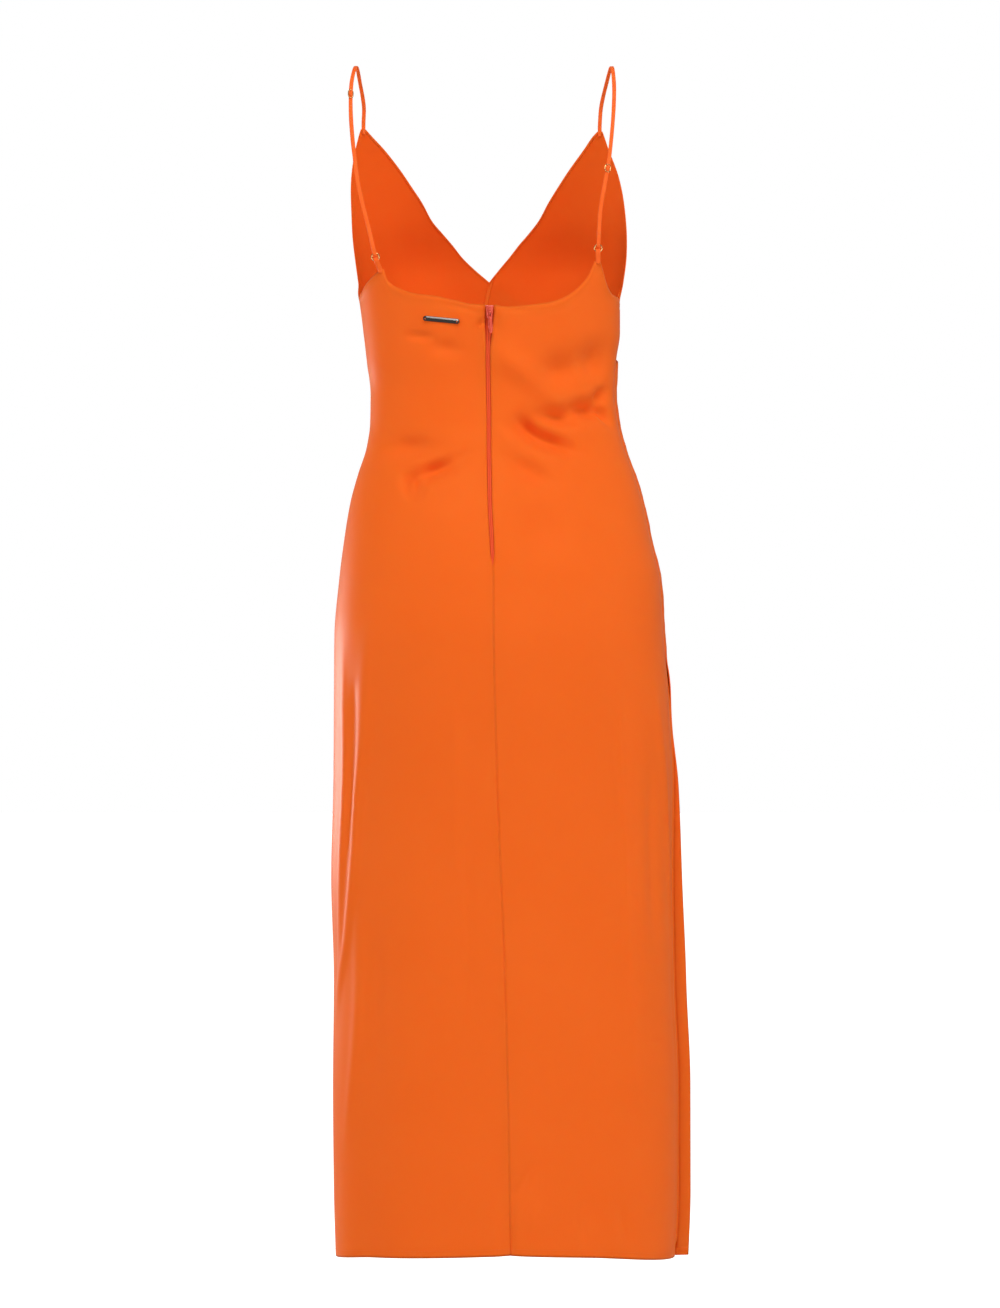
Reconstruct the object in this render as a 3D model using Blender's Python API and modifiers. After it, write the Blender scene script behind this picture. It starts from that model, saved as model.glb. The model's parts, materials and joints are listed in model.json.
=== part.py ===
"""Wrap dress in satin, worn form without a wearer: midi length, V front, low scooped back.

The wearer faces -Y, the wearer's left is +X and up is +Z. The origin is between the shoulder straps,
where the wearer holds the dress. Tables and sizes are in millimetres, and MM turns them to metres.
"Turn" is the angle round the body in degrees: 0 centre back, 90 left side, 180 centre front, 270 right.
"""

from bisect import bisect_right
from collections import namedtuple
from math import atan2, cos, degrees, exp, pi, radians, sin

import bmesh
import bpy
from mathutils import Matrix, Vector

MM = 0.001
OUT = Vector((0.0, 1.0, 0.0))     # away from the wearer's back

# Cloth
WALL = 1.5              # thickness of every cloth wall
SEAM = 0.3              # gap between pieces that are sewn or hooked to each other
OVER_GAP = 3.4          # inner face of the over front, out from the inner face of the under front
SEAT_GAP = 2.5          # the same where the over front is sewn down into the side seam
BACK_ROWS, OVER_ROWS, UNDER_ROWS = 30, 44, 40
ROW_PLACES = ((0.0, 0.0), (0.4, 0.22), (0.72, 0.42), (1.0, 1.0))   # rows lie closer above the hip
NECK_COLUMNS, ARM_COLUMNS, WRAP_COLUMNS, WRAP_END_COLUMNS = 8, 5, 4, 5

# Straps and their hardware
STRAP_WIDE, STRAP_THICK = 4.4, 1.6
RING_RADIUS, RING_WIRE = 3.9, 0.65
LOOP_DEPTH = 2.6        # how far a strap's loop reaches past the middle of the ring's wire
STRAND_APART = 2.0      # between the middles of the two strands of the doubled strap
WRAP_ROUND = RING_WIRE + SEAM + STRAP_THICK / 2   # from the wire's middle to the cloth's middle round it
SEW_LENGTH = 6.0        # straight start of a strap, in line with the cloth that it is sewn to
LEAD_IN = (9.0, 2.0)    # heights over the wire at which a strap runs straight down to it
CLOSE_OVER = 24.0       # length over which the two strands close up above the ring
ROUTE_STEP = 6.0        # between the points of a strap's route
SLIDER_WIDE, SLIDER_TALL, SLIDER_WIRE, SLIDER_BAR_WIRE = 6.6, 8.4, 0.5, 0.45
SLIDER_SIDES = 20

# Zip
TAPE_THICK = 1.2
TAPE_TOP, TAPE_END = -259.5, -512.0
PULL_Z = -263.5                               # height of the pull's axis
SLIDE_WIDE, SLIDE_THICK = 6.8, 2.0
BRIDGE_WIDE, BRIDGE_THICK, BRIDGE_ROOM = 1.6, 0.8, 2.2
BRIDGE_UP, BRIDGE_DOWN = 2.0, 4.2             # its ends, above and below the pull's axis
BRIDGE_LEG = 1.0
# Right half outlines (x, z) from the pull's axis: the slider's body, the pull and the hole in it.
SLIDE_HALF = ((SLIDE_WIDE / 2 - 0.8, 5.0), (SLIDE_WIDE / 2, 4.2), (SLIDE_WIDE / 2, 0.5),
              (SLIDE_WIDE / 2 - 0.9, -6.2), (SLIDE_WIDE / 2 - 1.6, -7.0))
PULL_THICK = 0.9
PULL_HALF = ((2.0, 0.55), (2.5, -0.2), (2.5, -5.0), (1.7, -7.2), (1.9, -9.5), (2.3, -13.0), (2.0, -18.0),
             (1.2, -21.4), (0.5, -22.45))
PULL_HOLE_HALF = ((0.9, -0.55), (1.3, -0.95), (1.3, -4.7), (0.8, -5.2))

# Plain metal bar on the left back
BAR_LONG, BAR_TALL, BAR_THICK = 38.5, 5.2, 1.6
BAR_X, BAR_Z, BAR_TILT = 50.9, -272.0, 6.2
BAR_GAP, BAR_ROUND = 0.4, 0.35                # gap to the cloth, and radius of its edges

# Body sections: half outlines at each height. x of the left and right edge and of the centre seam,
# depth to the front and the back, and how square the section is (2 is an ellipse).
SECTION = ("z", "left", "right", "front", "back", "centre", "square")
SECTIONS = (
    (-30, 164, -150, 82, 55, 4.0, 2.5),
    (-60, 163, -149, 92, 66, 4.0, 2.5),
    (-100, 161, -149, 108, 77, 3.0, 2.45),
    (-150, 156, -147, 124, 86, 2.0, 2.4),
    (-200, 147.5, -143, 131, 90, 1.0, 2.35),
    (-225, 142, -139, 127, 89.5, 1.0, 2.3),
    (-250, 136.5, -134, 120, 87, 1.0, 2.3),
    (-280, 132.5, -134, 110, 82, 2.0, 2.3),
    (-310, 129, -130, 102, 77, 3.0, 2.3),
    (-345, 125, -128.5, 97, 73, 2.5, 2.3),
    (-375, 125.5, -132, 96, 74, 2.0, 2.3),
    (-400, 129, -138, 97, 79, 2.0, 2.3),
    (-430, 138.5, -149, 100, 87, 1.5, 2.3),
    (-460, 146.5, -158, 104, 97, 1.0, 2.3),
    (-500, 153, -166.5, 107, 110, -1.0, 2.3),
    (-540, 158, -176, 108, 119, -2.5, 2.3),
    (-600, 163, -180, 108, 125, -3.0, 2.3),
    (-660, 163.4, -184.5, 107, 122, -4.0, 2.3),
    (-750, 164, -189, 107, 116, -6.5, 2.3),
    (-850, 166.4, -188.5, 109, 112, -10.5, 2.3),
    (-960, 163.5, -190, 112, 111, -14.8, 2.3),
    (-1070, 164.5, -194, 114, 111, -17.5, 2.3),
    (-1180, 163.5, -194, 116, 112, -19.5, 2.3),
    (-1252, 161.5, -191.5, 117, 112, -20.7, 2.3),
)

# Soft folds and fullness of the whole form: a ridge at a turn and height, with its reach along and
# across its own direction, its height, and its slope from the level.
Fold = namedtuple("Fold", "turn z along across high slope")
BODY_FOLDS = [Fold(*row) for row in (
    (147, -202, 46, 40, 13.0, 90),      # fullness over the left bust dart
    (213, -202, 46, 40, 13.0, 90),      # and the right
    (76, -730, 130, 12, 3.2, 91),       # two long folds on the left of the skirt
    (66, -850, 170, 14, 3.0, 96),
    (48, -1050, 150, 26, 3.4, 93),
    (22, -1080, 170, 24, -2.2, 90),
    (352, -1080, 190, 28, 2.6, 88),
    (322, -1090, 180, 24, -2.4, 90),
    (300, -900, 190, 16, 3.0, 90),      # long fold near the right edge of the back
    (338, -392, 26, 7, -2.4, 12),       # creases over the waist of the back
    (327, -372, 20, 6, -1.8, 150),
    (316, -410, 30, 7, -2.0, 28),
    (40, -428, 22, 7, -2.2, 160),
    (58, -441, 20, 6, -1.6, 125),
    (112, -1000, 210, 22, 3.2, 89),     # the front of the skirt
    (134, -1050, 190, 24, -2.6, 91),
    (240, -1040, 200, 26, 2.8, 90),
)]

# Gathers of the over front: they run out of both side seams, across and down the front.
GATHERS = [Fold(*row) for row in (
    (258, -334, 80, 11, 5.0, 24),
    (259, -368, 88, 11, 5.8, 17),
    (259, -403, 94, 11, 6.0, 9),
    (260, -439, 86, 12, 5.6, 2),
    (260, -476, 90, 12, 5.8, -6),
    (260, -514, 80, 12, 5.2, -14),
    (260, -553, 84, 13, 5.2, -23),
    (260, -594, 70, 13, 4.4, -33),
    (101, -286, 36, 10, 3.0, -14),
    (101, -320, 46, 10, 3.6, -8),
    (102, -355, 42, 10, 3.4, -2),
    (102, -392, 50, 11, 3.6, 5),
    (102, -432, 44, 11, 3.4, 12),
    (101, -474, 46, 12, 3.4, 20),
    (101, -518, 38, 12, 3.0, 28),
    (212, -356, 100, 14, 4.6, 22),      # drapes that reach the middle of the front
    (196, -426, 110, 15, 5.0, 7),
    (212, -520, 100, 16, 4.8, -20),
    (206, -640, 110, 18, 4.0, -48),
    (158, -334, 80, 14, 3.4, 4),
)]

# Edges of the cut pieces, each row (x, z) on the worn form. Where an edge ends at a seam, the seam's
# name stands for x.
SEAM_TURNS = {"centre to left": 0.0, "left seam": 90.0, "right seam": 270.0, "centre to right": 360.0}
BACK_NECK_LEFT = (("centre to left", -257), (18, -256), (34, -252.5), (54.5, -248), (78, -244.5),
                  (92, -240), (106.5, -231), (111.6, -218.4))
BACK_ARM_LEFT = ((116.8, -220.6), (122.6, -225.0), (131.3, -233.5), (135.6, -240.5), ("left seam", -243.5))
BACK_NECK_RIGHT = (("centre to right", -257), (-14, -259), (-32, -257.6), (-56, -254.4), (-71.4, -250),
                   (-87, -240.5), (-100.5, -226), (-108, -210.5))
BACK_ARM_RIGHT = ((-113.4, -210.5), (-115.6, -217), (-119, -228.5), (-122.7, -237.5), (-127.3, -243),
                  ("right seam", -246))
FRONT_ARM_LEFT = (("left seam", -243.5), (139, -224), (142.8, -196), (146.2, -150), (146.4, -110),
                  (142, -80), (136.8, -59.5))
FRONT_NECK_LEFT = ((131.8, -59.5), (125, -66.5), (112.5, -79), (97.7, -97), (85, -115), (72.3, -133.5),
                   (61.7, -152), (51, -164.5), (40.2, -177.3), (30.5, -190.2), (17.5, -203.3),
                   (1.3, -217.6))
WRAP_EDGE = ((1.3, -217.6), (-28, -240), (-58, -262), (-90, -284))
WRAP_END = ((-90, -284), (-116, -300), ("right seam", -312))
FRONT_ARM_RIGHT = (("right seam", -246), (-138.6, -224), (-142, -196), (-141, -150), (-134.4, -110),
                   (-124, -80), (-117.8, -61.5))
FRONT_NECK_RIGHT = ((-112.6, -61.5), (-107.7, -66.5), (-99.3, -78.3), (-85.5, -96.6), (-72.8, -115),
                    (-61, -133.3), (-50.4, -152), (-40.7, -164.5), (-29.9, -177.3), (-20.2, -190.2),
                    (-9.5, -203.3), (1.3, -217.6))

# Free edge of the under front, at (height, turn): it falls from the V and goes over to the left.
UNDERLAP = ((-217.6, 179.4), (-245, 176.5), (-300, 172), (-420, 166), (-640, 159), (-1245, 155))
# Half the opening of the centre-back seam at (height, width): the zip shows in it.
ZIP_OPENING = ((-200, 4.9), (-274, 4.7), (-300, 2.8), (-512, 2.5), (-531, 0.15), (-1300, 0.15))
# Half the width of the zip tape that shows in it, at (height, width).
TAPE_HALF = ((-200, 4.4), (-266, 4.0), (-292, 2.3), (-480, 2.0), (-512, 0.8))
# How far the free side of the over front stands out from the skirt, at (height, distance).
FLARE = ((-300, 0), (-620, 0), (-700, 1.6), (-760, 4.5), (-840, 7.6), (-960, 10.8), (-1252, 11.5))
# Hem height at each turn.
HEM = ((0, -1238), (60, -1244), (90, -1249), (180, -1246), (262, -1249), (282, -1251), (320, -1243),
       (360, -1238))

# Routes of the straps from above the front's point to the ring, at the middle of the cloth: x, y, z.
STRAP_LEFT = ((135.2, -58.5, -36), (138.4, -42, -15),
              (142, -12, 0.8), (146, 8, -17), (147, 13, -40), (145.6, 22, -66), (142.6, 34, -96),
              (138.4, 45, -127), (132, 54, -155), (125.6, 60, -180))
STRAP_RIGHT = ((-117, -63.5, -36), (-122, -45, -14),
               (-127, -14, 0.8), (-129, 8, -20), (-128.4, 18, -46), (-126, 29, -76),
               (-122.4, 40, -107), (-117.6, 49, -133), (-113.6, 55, -158), (-112.2, 60, -178))
RING_LEFT = (119.6, 65.5, -206.0)
RING_RIGHT = (-111.2, 65.5, -197.0)
SLIDER_LEFT_Z, SLIDER_RIGHT_Z = -30.0, -111.0

SATIN = (0.955, 0.150, 0.020)
ZIP_RED = (0.80, 0.085, 0.035)
GOLD = (0.83, 0.53, 0.20)
GUNMETAL = (0.16, 0.14, 0.13)


def curve_value(rows, at):
    """Value at `at` on the smooth curve through (position, value) rows whose positions rise."""
    last = len(rows) - 1
    at = min(max(at, rows[0][0]), rows[last][0])
    i = min(max(bisect_right([row[0] for row in rows], at) - 1, 0), last - 1)
    (x0, y0), (x1, y1) = rows[i], rows[i + 1]
    chord = (y1 - y0) / (x1 - x0)
    before = (y0 - rows[i - 1][1]) / (x0 - rows[i - 1][0]) if i else chord
    after = (rows[i + 2][1] - y1) / (rows[i + 2][0] - x1) if i < last - 1 else chord
    slope0 = 2 * before * chord / (before + chord) if before * chord > 0 else 0.0
    slope1 = 2 * after * chord / (after + chord) if after * chord > 0 else 0.0
    if i == 0:
        slope0 = chord
    if i == last - 1:
        slope1 = chord
    t = (at - x0) / (x1 - x0)
    wide = x1 - x0
    return ((1 + 2 * t) * (1 - t) ** 2 * y0 + t * (1 - t) ** 2 * wide * slope0
            + t * t * (3 - 2 * t) * y1 + t * t * (t - 1) * wide * slope1)


def by_height(rows):
    """(height, value) rows sorted so that the heights rise."""
    return sorted(rows)


COLUMNS = {name: by_height((row[0], row[i]) for row in SECTIONS)
           for i, name in enumerate(SECTION) if i}
ZIP_OPENING = by_height(ZIP_OPENING)
TAPE_HALF = by_height(TAPE_HALF)
FLARE = by_height(FLARE)
UNDERLAP = by_height(UNDERLAP)


def section(z):
    """The body section at height z, as a dict of its named columns."""
    return {name: curve_value(rows, z) for name, rows in COLUMNS.items()}


def ease(t):
    """Smooth step from 0 to 1."""
    t = min(max(t, 0.0), 1.0)
    return t * t * (3 - 2 * t)


def reach(size, turn):
    """Distance from the middle of a body section to its outline, at a turn."""
    side = sin(radians(turn))
    way = cos(radians(turn))
    half = size["left"] - size["centre"] if side > 0 else size["centre"] - size["right"]
    depth = size["back"] if way > 0 else size["front"]
    square = size["square"]
    return (abs(side / half) ** square + abs(way / depth) ** square) ** (-1 / square)


def folds_at(folds, turn, z, radius):
    """Height of a table of folds at one place on the form."""
    total = 0.0
    for fold in folds:
        level = radians((turn - fold.turn + 180) % 360 - 180) * radius
        rise = z - fold.z
        way = radians(fold.slope)
        run = (level * cos(way) + rise * sin(way)) / fold.along
        off = (-level * sin(way) + rise * cos(way)) / fold.across
        total += fold.high * exp(-run * run - off * off)
    return total


def on_form(turn, z, out=0.0):
    """Point of the worn form at a turn and height, moved out along its level normal."""
    size = section(z)
    step = 0.3
    flat = [Vector((sin(radians(a)), cos(radians(a)))) * reach(size, a)
            for a in (turn - step, turn, turn + step)]
    along = flat[2] - flat[0]
    normal = Vector((along.y, -along.x)).normalized()
    if normal.dot(flat[1]) < 0:
        normal.negate()
    place = flat[1] + normal * (out + folds_at(BODY_FOLDS, turn, z, flat[1].length))
    return Vector((place.x + size["centre"], place.y, z))


def turn_at(x, z, front):
    """Turn at which the form reaches x at height z, on the front half or the back half."""
    if x in SEAM_TURNS:
        return SEAM_TURNS[x]
    size = section(z)
    sign = 1 if x >= size["centre"] else -1
    low, high = (90.0, 180.0) if front else (90.0, 0.0)
    for _ in range(40):
        middle = (low + high) / 2
        if reach(size, middle * sign) * sin(radians(middle)) > abs(x - size["centre"]):
            low = middle
        else:
            high = middle
    return middle if sign > 0 else 360.0 - middle


def edge_points(edge, front, count):
    """Count + 1 places (turn, z), evenly spaced along the smooth edge through (x, z) rows."""
    places = [(turn_at(x, z, front), z) for x, z in edge]
    spots = [on_form(turn, z) for turn, z in places]
    run = [0.0]
    for a, b in zip(spots, spots[1:]):
        run.append(run[-1] + (b - a).length)
    turns = [(r, place[0]) for r, place in zip(run, places)]
    heights = [(r, place[1]) for r, place in zip(run, places)]
    marks = [run[-1] * i / count for i in range(count + 1)]
    return [(curve_value(turns, r), curve_value(heights, r)) for r in marks]


def top_edge(front, *parts):
    """One top edge from several (edge, number of columns) parts; a strap end bridges two of them."""
    places = []
    for edge, count in parts:
        points = edge_points(edge, front, count)
        meets = places and (Vector(points[0]) - Vector(places[-1])).length < 0.01
        places += points[1:] if meets else points
    return places


def panel(name, top, first, last, layer, rows, colour):
    """Cloth panel: its top edge, the turns of its two side edges, and its distance from the form."""
    wide = len(top) - 1
    grid = bmesh.new()
    bmesh.ops.create_grid(grid, x_segments=wide, y_segments=rows, size=0.5)
    for vert in grid.verts:
        across = vert.co.x + 0.5
        down = 0.5 - vert.co.y
        top_turn, top_z = top[round(across * wide)]
        hem_turn = first(-1250) + (last(-1250) - first(-1250)) * across
        mix = ease(down / 0.45)
        turn = top_turn + (hem_turn - top_turn) * mix
        drop = curve_value(ROW_PLACES, down)
        z = top_z + (curve_value(HEM, hem_turn) - top_z) * drop
        for edge, (edge_turn, edge_z), near in ((first, top[0], 1 - across), (last, top[-1], across)):
            edge_z += (curve_value(HEM, edge(-1250)) - edge_z) * drop
            plain = edge_turn + (edge(-1250) - edge_turn) * mix
            turn += near ** 4 * (edge(edge_z) - plain)
        vert.co = on_form(turn, z, layer(turn, z)) * MM
    bmesh.ops.recalc_face_normals(grid, faces=grid.faces)
    middle = Vector((0.0, 0.0, -0.6))
    grid.faces.ensure_lookup_table()
    face = grid.faces[len(grid.faces) // 2]
    if face.normal.dot(face.calc_center_median() - middle) < 0:
        bmesh.ops.reverse_faces(grid, faces=grid.faces)
    mesh = bpy.data.meshes.new(name)
    grid.to_mesh(mesh)
    grid.free()
    mesh.shade_smooth()
    piece = bpy.data.objects.new(name, mesh)
    shell = piece.modifiers.new("cloth wall", "SOLIDIFY")
    shell.thickness = WALL * MM
    shell.offset = 1.0
    finish(piece, colour, 0.45, 0.0)
    return piece


def finish(piece, colour, roughness, metallic):
    """Puts a piece in the dress's collection, with its own plain material."""
    material = bpy.data.materials.new(piece.name)
    material.use_nodes = True
    shader = material.node_tree.nodes["Principled BSDF"]
    shader.inputs["Base Color"].default_value = (*colour, 1.0)
    shader.inputs["Roughness"].default_value = roughness
    shader.inputs["Metallic"].default_value = metallic
    piece.data.materials.clear()
    piece.data.materials.append(material)
    for old in list(piece.users_collection):
        old.objects.unlink(piece)
    dress.objects.link(piece)


def seam_turn(side):
    """Turn of one edge of a side seam, 0.3 mm from the other piece's edge."""
    def at(z):
        size = section(z)
        middle = 90.0 if side in ("left back", "left front") else 270.0
        half = degrees(SEAM / 2 / reach(size, middle))
        return middle + half * (1 if side in ("left front", "right back") else -1)
    return at


def zip_turn(way, widths):
    """Turn of an edge beside the zip: half a width from the centre-back line, to one side."""
    def at(z):
        half = curve_value(widths, z)
        angle = degrees(half / section(z)["back"])
        return angle if way > 0 else 360.0 - angle
    return at


def on_body(turn, z):
    """The back panels and the under front lie on the form itself."""
    return 0.0


def over_layer(turn, z):
    """Distance of the over front from the form: it leaves the left seam, passes over, and flares."""
    lift = OVER_GAP * ease((turn - 96) / 40)
    sewn = ease((turn - 255) / 14) * ease((z + 660) / 40)
    lift += (SEAT_GAP - lift) * sewn
    gather = folds_at(GATHERS, turn, z, 150.0)
    quiet = (0.25 + 0.75 * ease((turn - 91) / 5)) * (0.35 + 0.65 * ease((268 - turn) / 8))
    stand = curve_value(FLARE, z) * ease((turn - 228) / 34)
    return lift + max(gather, 0.0) * quiet + stand


def oval(name, wide, thick, sides=8):
    """Guide curve: the oval section that a strap is swept along its route with."""
    outline = bpy.data.curves.new(name, "CURVE")
    outline.dimensions = "2D"
    spline = outline.splines.new("POLY")
    spline.points.add(sides - 1)
    for i, point in enumerate(spline.points):
        angle = -2 * pi * i / sides
        point.co = (wide / 2 * cos(angle) * MM, thick / 2 * sin(angle) * MM, 0.0, 1.0)
    spline.use_cyclic_u = True
    guide = bpy.data.objects.new(name, outline)
    guide.hide_render = True
    guide.display_type = "WIRE"
    cutters.objects.link(guide)
    return guide


def smooth_route(points, spacing):
    """Points about `spacing` apart on a smooth curve through a short list of 3-D points."""
    points = [Vector(p) for p in points]
    run = [0.0]
    for a, b in zip(points, points[1:]):
        run.append(run[-1] + (b - a).length)
    steps = max(2, round(run[-1] / spacing))
    dense = []
    for i in range(steps + 1):
        at = run[-1] * i / steps
        dense.append(Vector(spline_at(run, points, at)))
    return dense


def spline_at(run, points, at):
    """Point on the cubic through 3-D points, at a distance along them."""
    last = len(points) - 1
    i = min(max(bisect_right(run, at) - 1, 0), last - 1)
    wide = run[i + 1] - run[i]
    t = (at - run[i]) / wide

    def slope(k):
        low, high = max(k - 1, 0), min(k + 1, last)
        return (points[high] - points[low]) / (run[high] - run[low])

    return ((1 + 2 * t) * (1 - t) ** 2 * points[i] + t * (1 - t) ** 2 * wide * slope(i)
            + t * t * (3 - 2 * t) * points[i + 1] + t * t * (t - 1) * wide * slope(i + 1))


def swept(name, route, profile, colour):
    """Flat cord along a route of points, its width level with x: a poly curve with an oval profile."""
    start = (route[1] - route[0]).normalized()
    level = Vector((0.0, 0.0, 1.0)).cross(start).normalized()
    wish = (Vector((1.0, 0.0, 0.0)) - start * start.x).normalized()
    tilt = atan2(start.dot(level.cross(wish)), level.dot(wish))
    cord = bpy.data.curves.new(name, "CURVE")
    cord.dimensions = "3D"
    cord.twist_mode = "MINIMUM"
    spline = cord.splines.new("POLY")
    spline.points.add(len(route) - 1)
    for point, place in zip(spline.points, route):
        point.co = (*(place * MM), 1.0)
        point.tilt = tilt
    cord.bevel_mode = "OBJECT"
    cord.bevel_object = profile
    cord.use_fill_caps = True
    piece = bpy.data.objects.new(name, cord)
    finish(piece, colour, 0.5, 0.0)
    return piece


def flat_top(front, ends, layer):
    """Middle of the cloth at the short flat top between two edges, and the way the cloth rises there."""
    (x0, z0), (x1, z1) = ends
    z = (z0 + z1) / 2
    turn = turn_at((x0 + x1) / 2, z, front)
    middle = on_form(turn, z, layer(turn, z) + WALL / 2)
    rise = middle - on_form(turn, z - SEW_LENGTH, layer(turn, z) + WALL / 2)
    rise.x = 0.0
    return middle, rise.normalized()


def up_the_strap(ring, above):
    """Direction from a ring up its strap, in the plane of the ring."""
    up = Vector(above) - Vector(ring)
    up.y = 0.0
    return up.normalized()


def round_wire(wire, reach_past):
    """Half turn of cloth round a ring's wire, from its outer side to its inner side."""
    steps = 8
    places = []
    for i in range(steps + 1):
        angle = pi * i / steps
        places.append(wire + OUT * WRAP_ROUND * cos(angle) + reach_past * sin(angle))
    return places


def strap_route(route, ring, sewn, slider_z):
    """The strap's whole route: from the front over the shoulder, through the ring and up to the slider."""
    start, rise = sewn
    up = up_the_strap(ring, route[-1])
    wire = Vector(ring) + up * RING_RADIUS
    first = [start + rise * SEAM, start + rise * (SEAM + SEW_LENGTH)]
    last = [wire + OUT * WRAP_ROUND + up * height for height in LEAD_IN]
    main = smooth_route(first + [Vector(place) for place in route] + last, ROUTE_STEP)
    back = []
    for i, place in enumerate(main[1:], 1):
        if place.z > slider_z or place.y < 0:
            continue
        tangent = (main[min(i + 1, len(main) - 1)] - main[i - 1]).normalized()
        facing = (OUT - tangent * OUT.dot(tangent)).normalized()
        close = ease((place - wire).length / CLOSE_OVER)
        apart = 2 * WRAP_ROUND + (STRAND_APART - 2 * WRAP_ROUND) * close
        back.append(place - facing * apart)
    return main + round_wire(wire, -up * LOOP_DEPTH) + back[::-1]


def tab_route(ring, sewn, above):
    """The tab's route: up the outer side, over the lower side of the ring's wire, and down again."""
    peak, rise = sewn
    up = up_the_strap(ring, above)
    foot = peak + rise * SEAM
    half = OUT * STRAND_APART / 2
    return [foot + half] + round_wire(Vector(ring) - up * RING_RADIUS, up * LOOP_DEPTH) + [foot - half]


def ring(name, place):
    """Wire ring that stands in the plane of the back."""
    bpy.ops.mesh.primitive_torus_add(major_radius=RING_RADIUS * MM, minor_radius=RING_WIRE * MM,
                                     major_segments=24, minor_segments=8)
    piece = bpy.context.object
    piece.name = name
    piece.location = Vector(place) * MM
    piece.rotation_euler = (pi / 2, 0.0, 0.0)
    piece.data.shade_smooth()
    finish(piece, GOLD, 0.25, 1.0)


def slider(name, route, height):
    """Wire slider with a middle bar, flat against the outer face of the strap."""
    behind = [i for i, place in enumerate(route) if place.y > 0 and place.z < height]
    i = behind[0]
    tangent = (route[i + 1] - route[i - 1]).normalized()
    facing = (OUT - tangent * OUT.dot(tangent)).normalized()
    across = tangent.cross(facing)
    middle = route[i] + facing * (STRAP_THICK / 2 + SEAM + SLIDER_WIRE)
    angles = [2 * pi * k / SLIDER_SIDES for k in range(SLIDER_SIDES)]
    loop = [middle + across * (SLIDER_WIDE / 2 * cos(angle)) + tangent * (SLIDER_TALL / 2 * sin(angle))
            for angle in angles]
    piece = wire(name, loop, SLIDER_WIRE, True)
    ends = [middle + across * (SLIDER_WIDE / 2 * way) for way in (-1, 0, 1)]
    join(piece, wire(name + "_bar", ends, SLIDER_BAR_WIRE, False))
    finish(piece, GOLD, 0.25, 1.0)


def zip_tape():
    """The closed coil and its tape, which fill the opening of the centre-back seam."""
    grid = bmesh.new()
    bmesh.ops.create_grid(grid, x_segments=2, y_segments=30, size=0.5)
    edge = zip_turn(1, TAPE_HALF)
    for vert in grid.verts:
        z = TAPE_END + (TAPE_TOP - TAPE_END) * (vert.co.y + 0.5)
        vert.co = on_form(2 * vert.co.x * edge(z), z) * MM
    bmesh.ops.recalc_face_normals(grid, faces=grid.faces)
    grid.faces.ensure_lookup_table()
    if grid.faces[0].normal.y < 0:
        bmesh.ops.reverse_faces(grid, faces=grid.faces)
    mesh = bpy.data.meshes.new("zip_tape")
    grid.to_mesh(mesh)
    grid.free()
    piece = bpy.data.objects.new("zip_tape", mesh)
    shell = piece.modifiers.new("tape", "SOLIDIFY")
    shell.thickness = TAPE_THICK * MM
    shell.offset = 1.0
    finish(piece, ZIP_RED, 0.6, 0.0)


def zip_slider_and_pull():
    """Slider body with its bridge, tilted with the back, and the pull that hangs from the bridge."""
    low = on_form(0.0, PULL_Z - 6)
    high = on_form(0.0, PULL_Z + 6)
    lean = Matrix.Rotation(-atan2(high.y - low.y, high.z - low.z), 4, "X")
    seat = (low + high) / 2
    middle = seat + lean @ OUT * (TAPE_THICK + SEAM + SLIDE_THICK / 2)
    frame = Matrix.Translation(middle * MM) @ lean
    body = plate("zip_slider", [SLIDE_HALF], SLIDE_THICK)
    body.matrix_world = frame
    face = SLIDE_THICK / 2
    sunk = face - 0.2
    top = face + BRIDGE_ROOM
    side = BRIDGE_WIDE / 2
    for name, z_low, z_high, y_low in (("bridge_upper_leg", BRIDGE_UP - BRIDGE_LEG, BRIDGE_UP, sunk),
                                       ("bridge_lower_leg", -BRIDGE_DOWN, BRIDGE_LEG - BRIDGE_DOWN, sunk),
                                       ("bridge_bar", -BRIDGE_DOWN, BRIDGE_UP, top)):
        tool = block(name, (-side, y_low, z_low), (side, top + BRIDGE_THICK, z_high))
        tool.matrix_world = frame
        join(body, tool)
    finish(body, ZIP_RED, 0.35, 0.6)
    pull = plate("zip_pull", [PULL_HALF, PULL_HOLE_HALF], PULL_THICK)
    pull.location = (frame @ (Vector((0.0, face + BRIDGE_ROOM / 2, 0.0)) * MM))
    finish(pull, ZIP_RED, 0.3, 0.7)


def label_bar():
    """Plain metal bar, sewn to the left back just under the neckline."""
    turn = turn_at(BAR_X, BAR_Z, False)
    seat = on_form(turn, BAR_Z)
    along = (on_form(turn + 1, BAR_Z) - on_form(turn - 1, BAR_Z)).normalized()
    rise = (on_form(turn, BAR_Z + BAR_TALL) - on_form(turn, BAR_Z - BAR_TALL)).normalized()
    out = rise.cross(along).normalized()
    if out.y < 0:
        out.negate()
    along = (along * cos(radians(BAR_TILT)) + rise * sin(radians(BAR_TILT))).normalized()
    up = out.cross(along).normalized()
    if up.z < 0:
        up.negate()
    along = up.cross(out)
    place = seat + out * (WALL + BAR_GAP + BAR_THICK / 2)
    half = Vector((BAR_LONG, BAR_THICK, BAR_TALL)) / 2
    piece = block("label_bar", -half, half)
    piece.matrix_world = Matrix.Translation(place * MM) @ Matrix((along, out, up)).transposed().to_4x4()
    rounded = piece.modifiers.new("rounded edges", "BEVEL")
    rounded.width = BAR_ROUND * MM
    rounded.segments = 2
    finish(piece, GUNMETAL, 0.25, 1.0)


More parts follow.
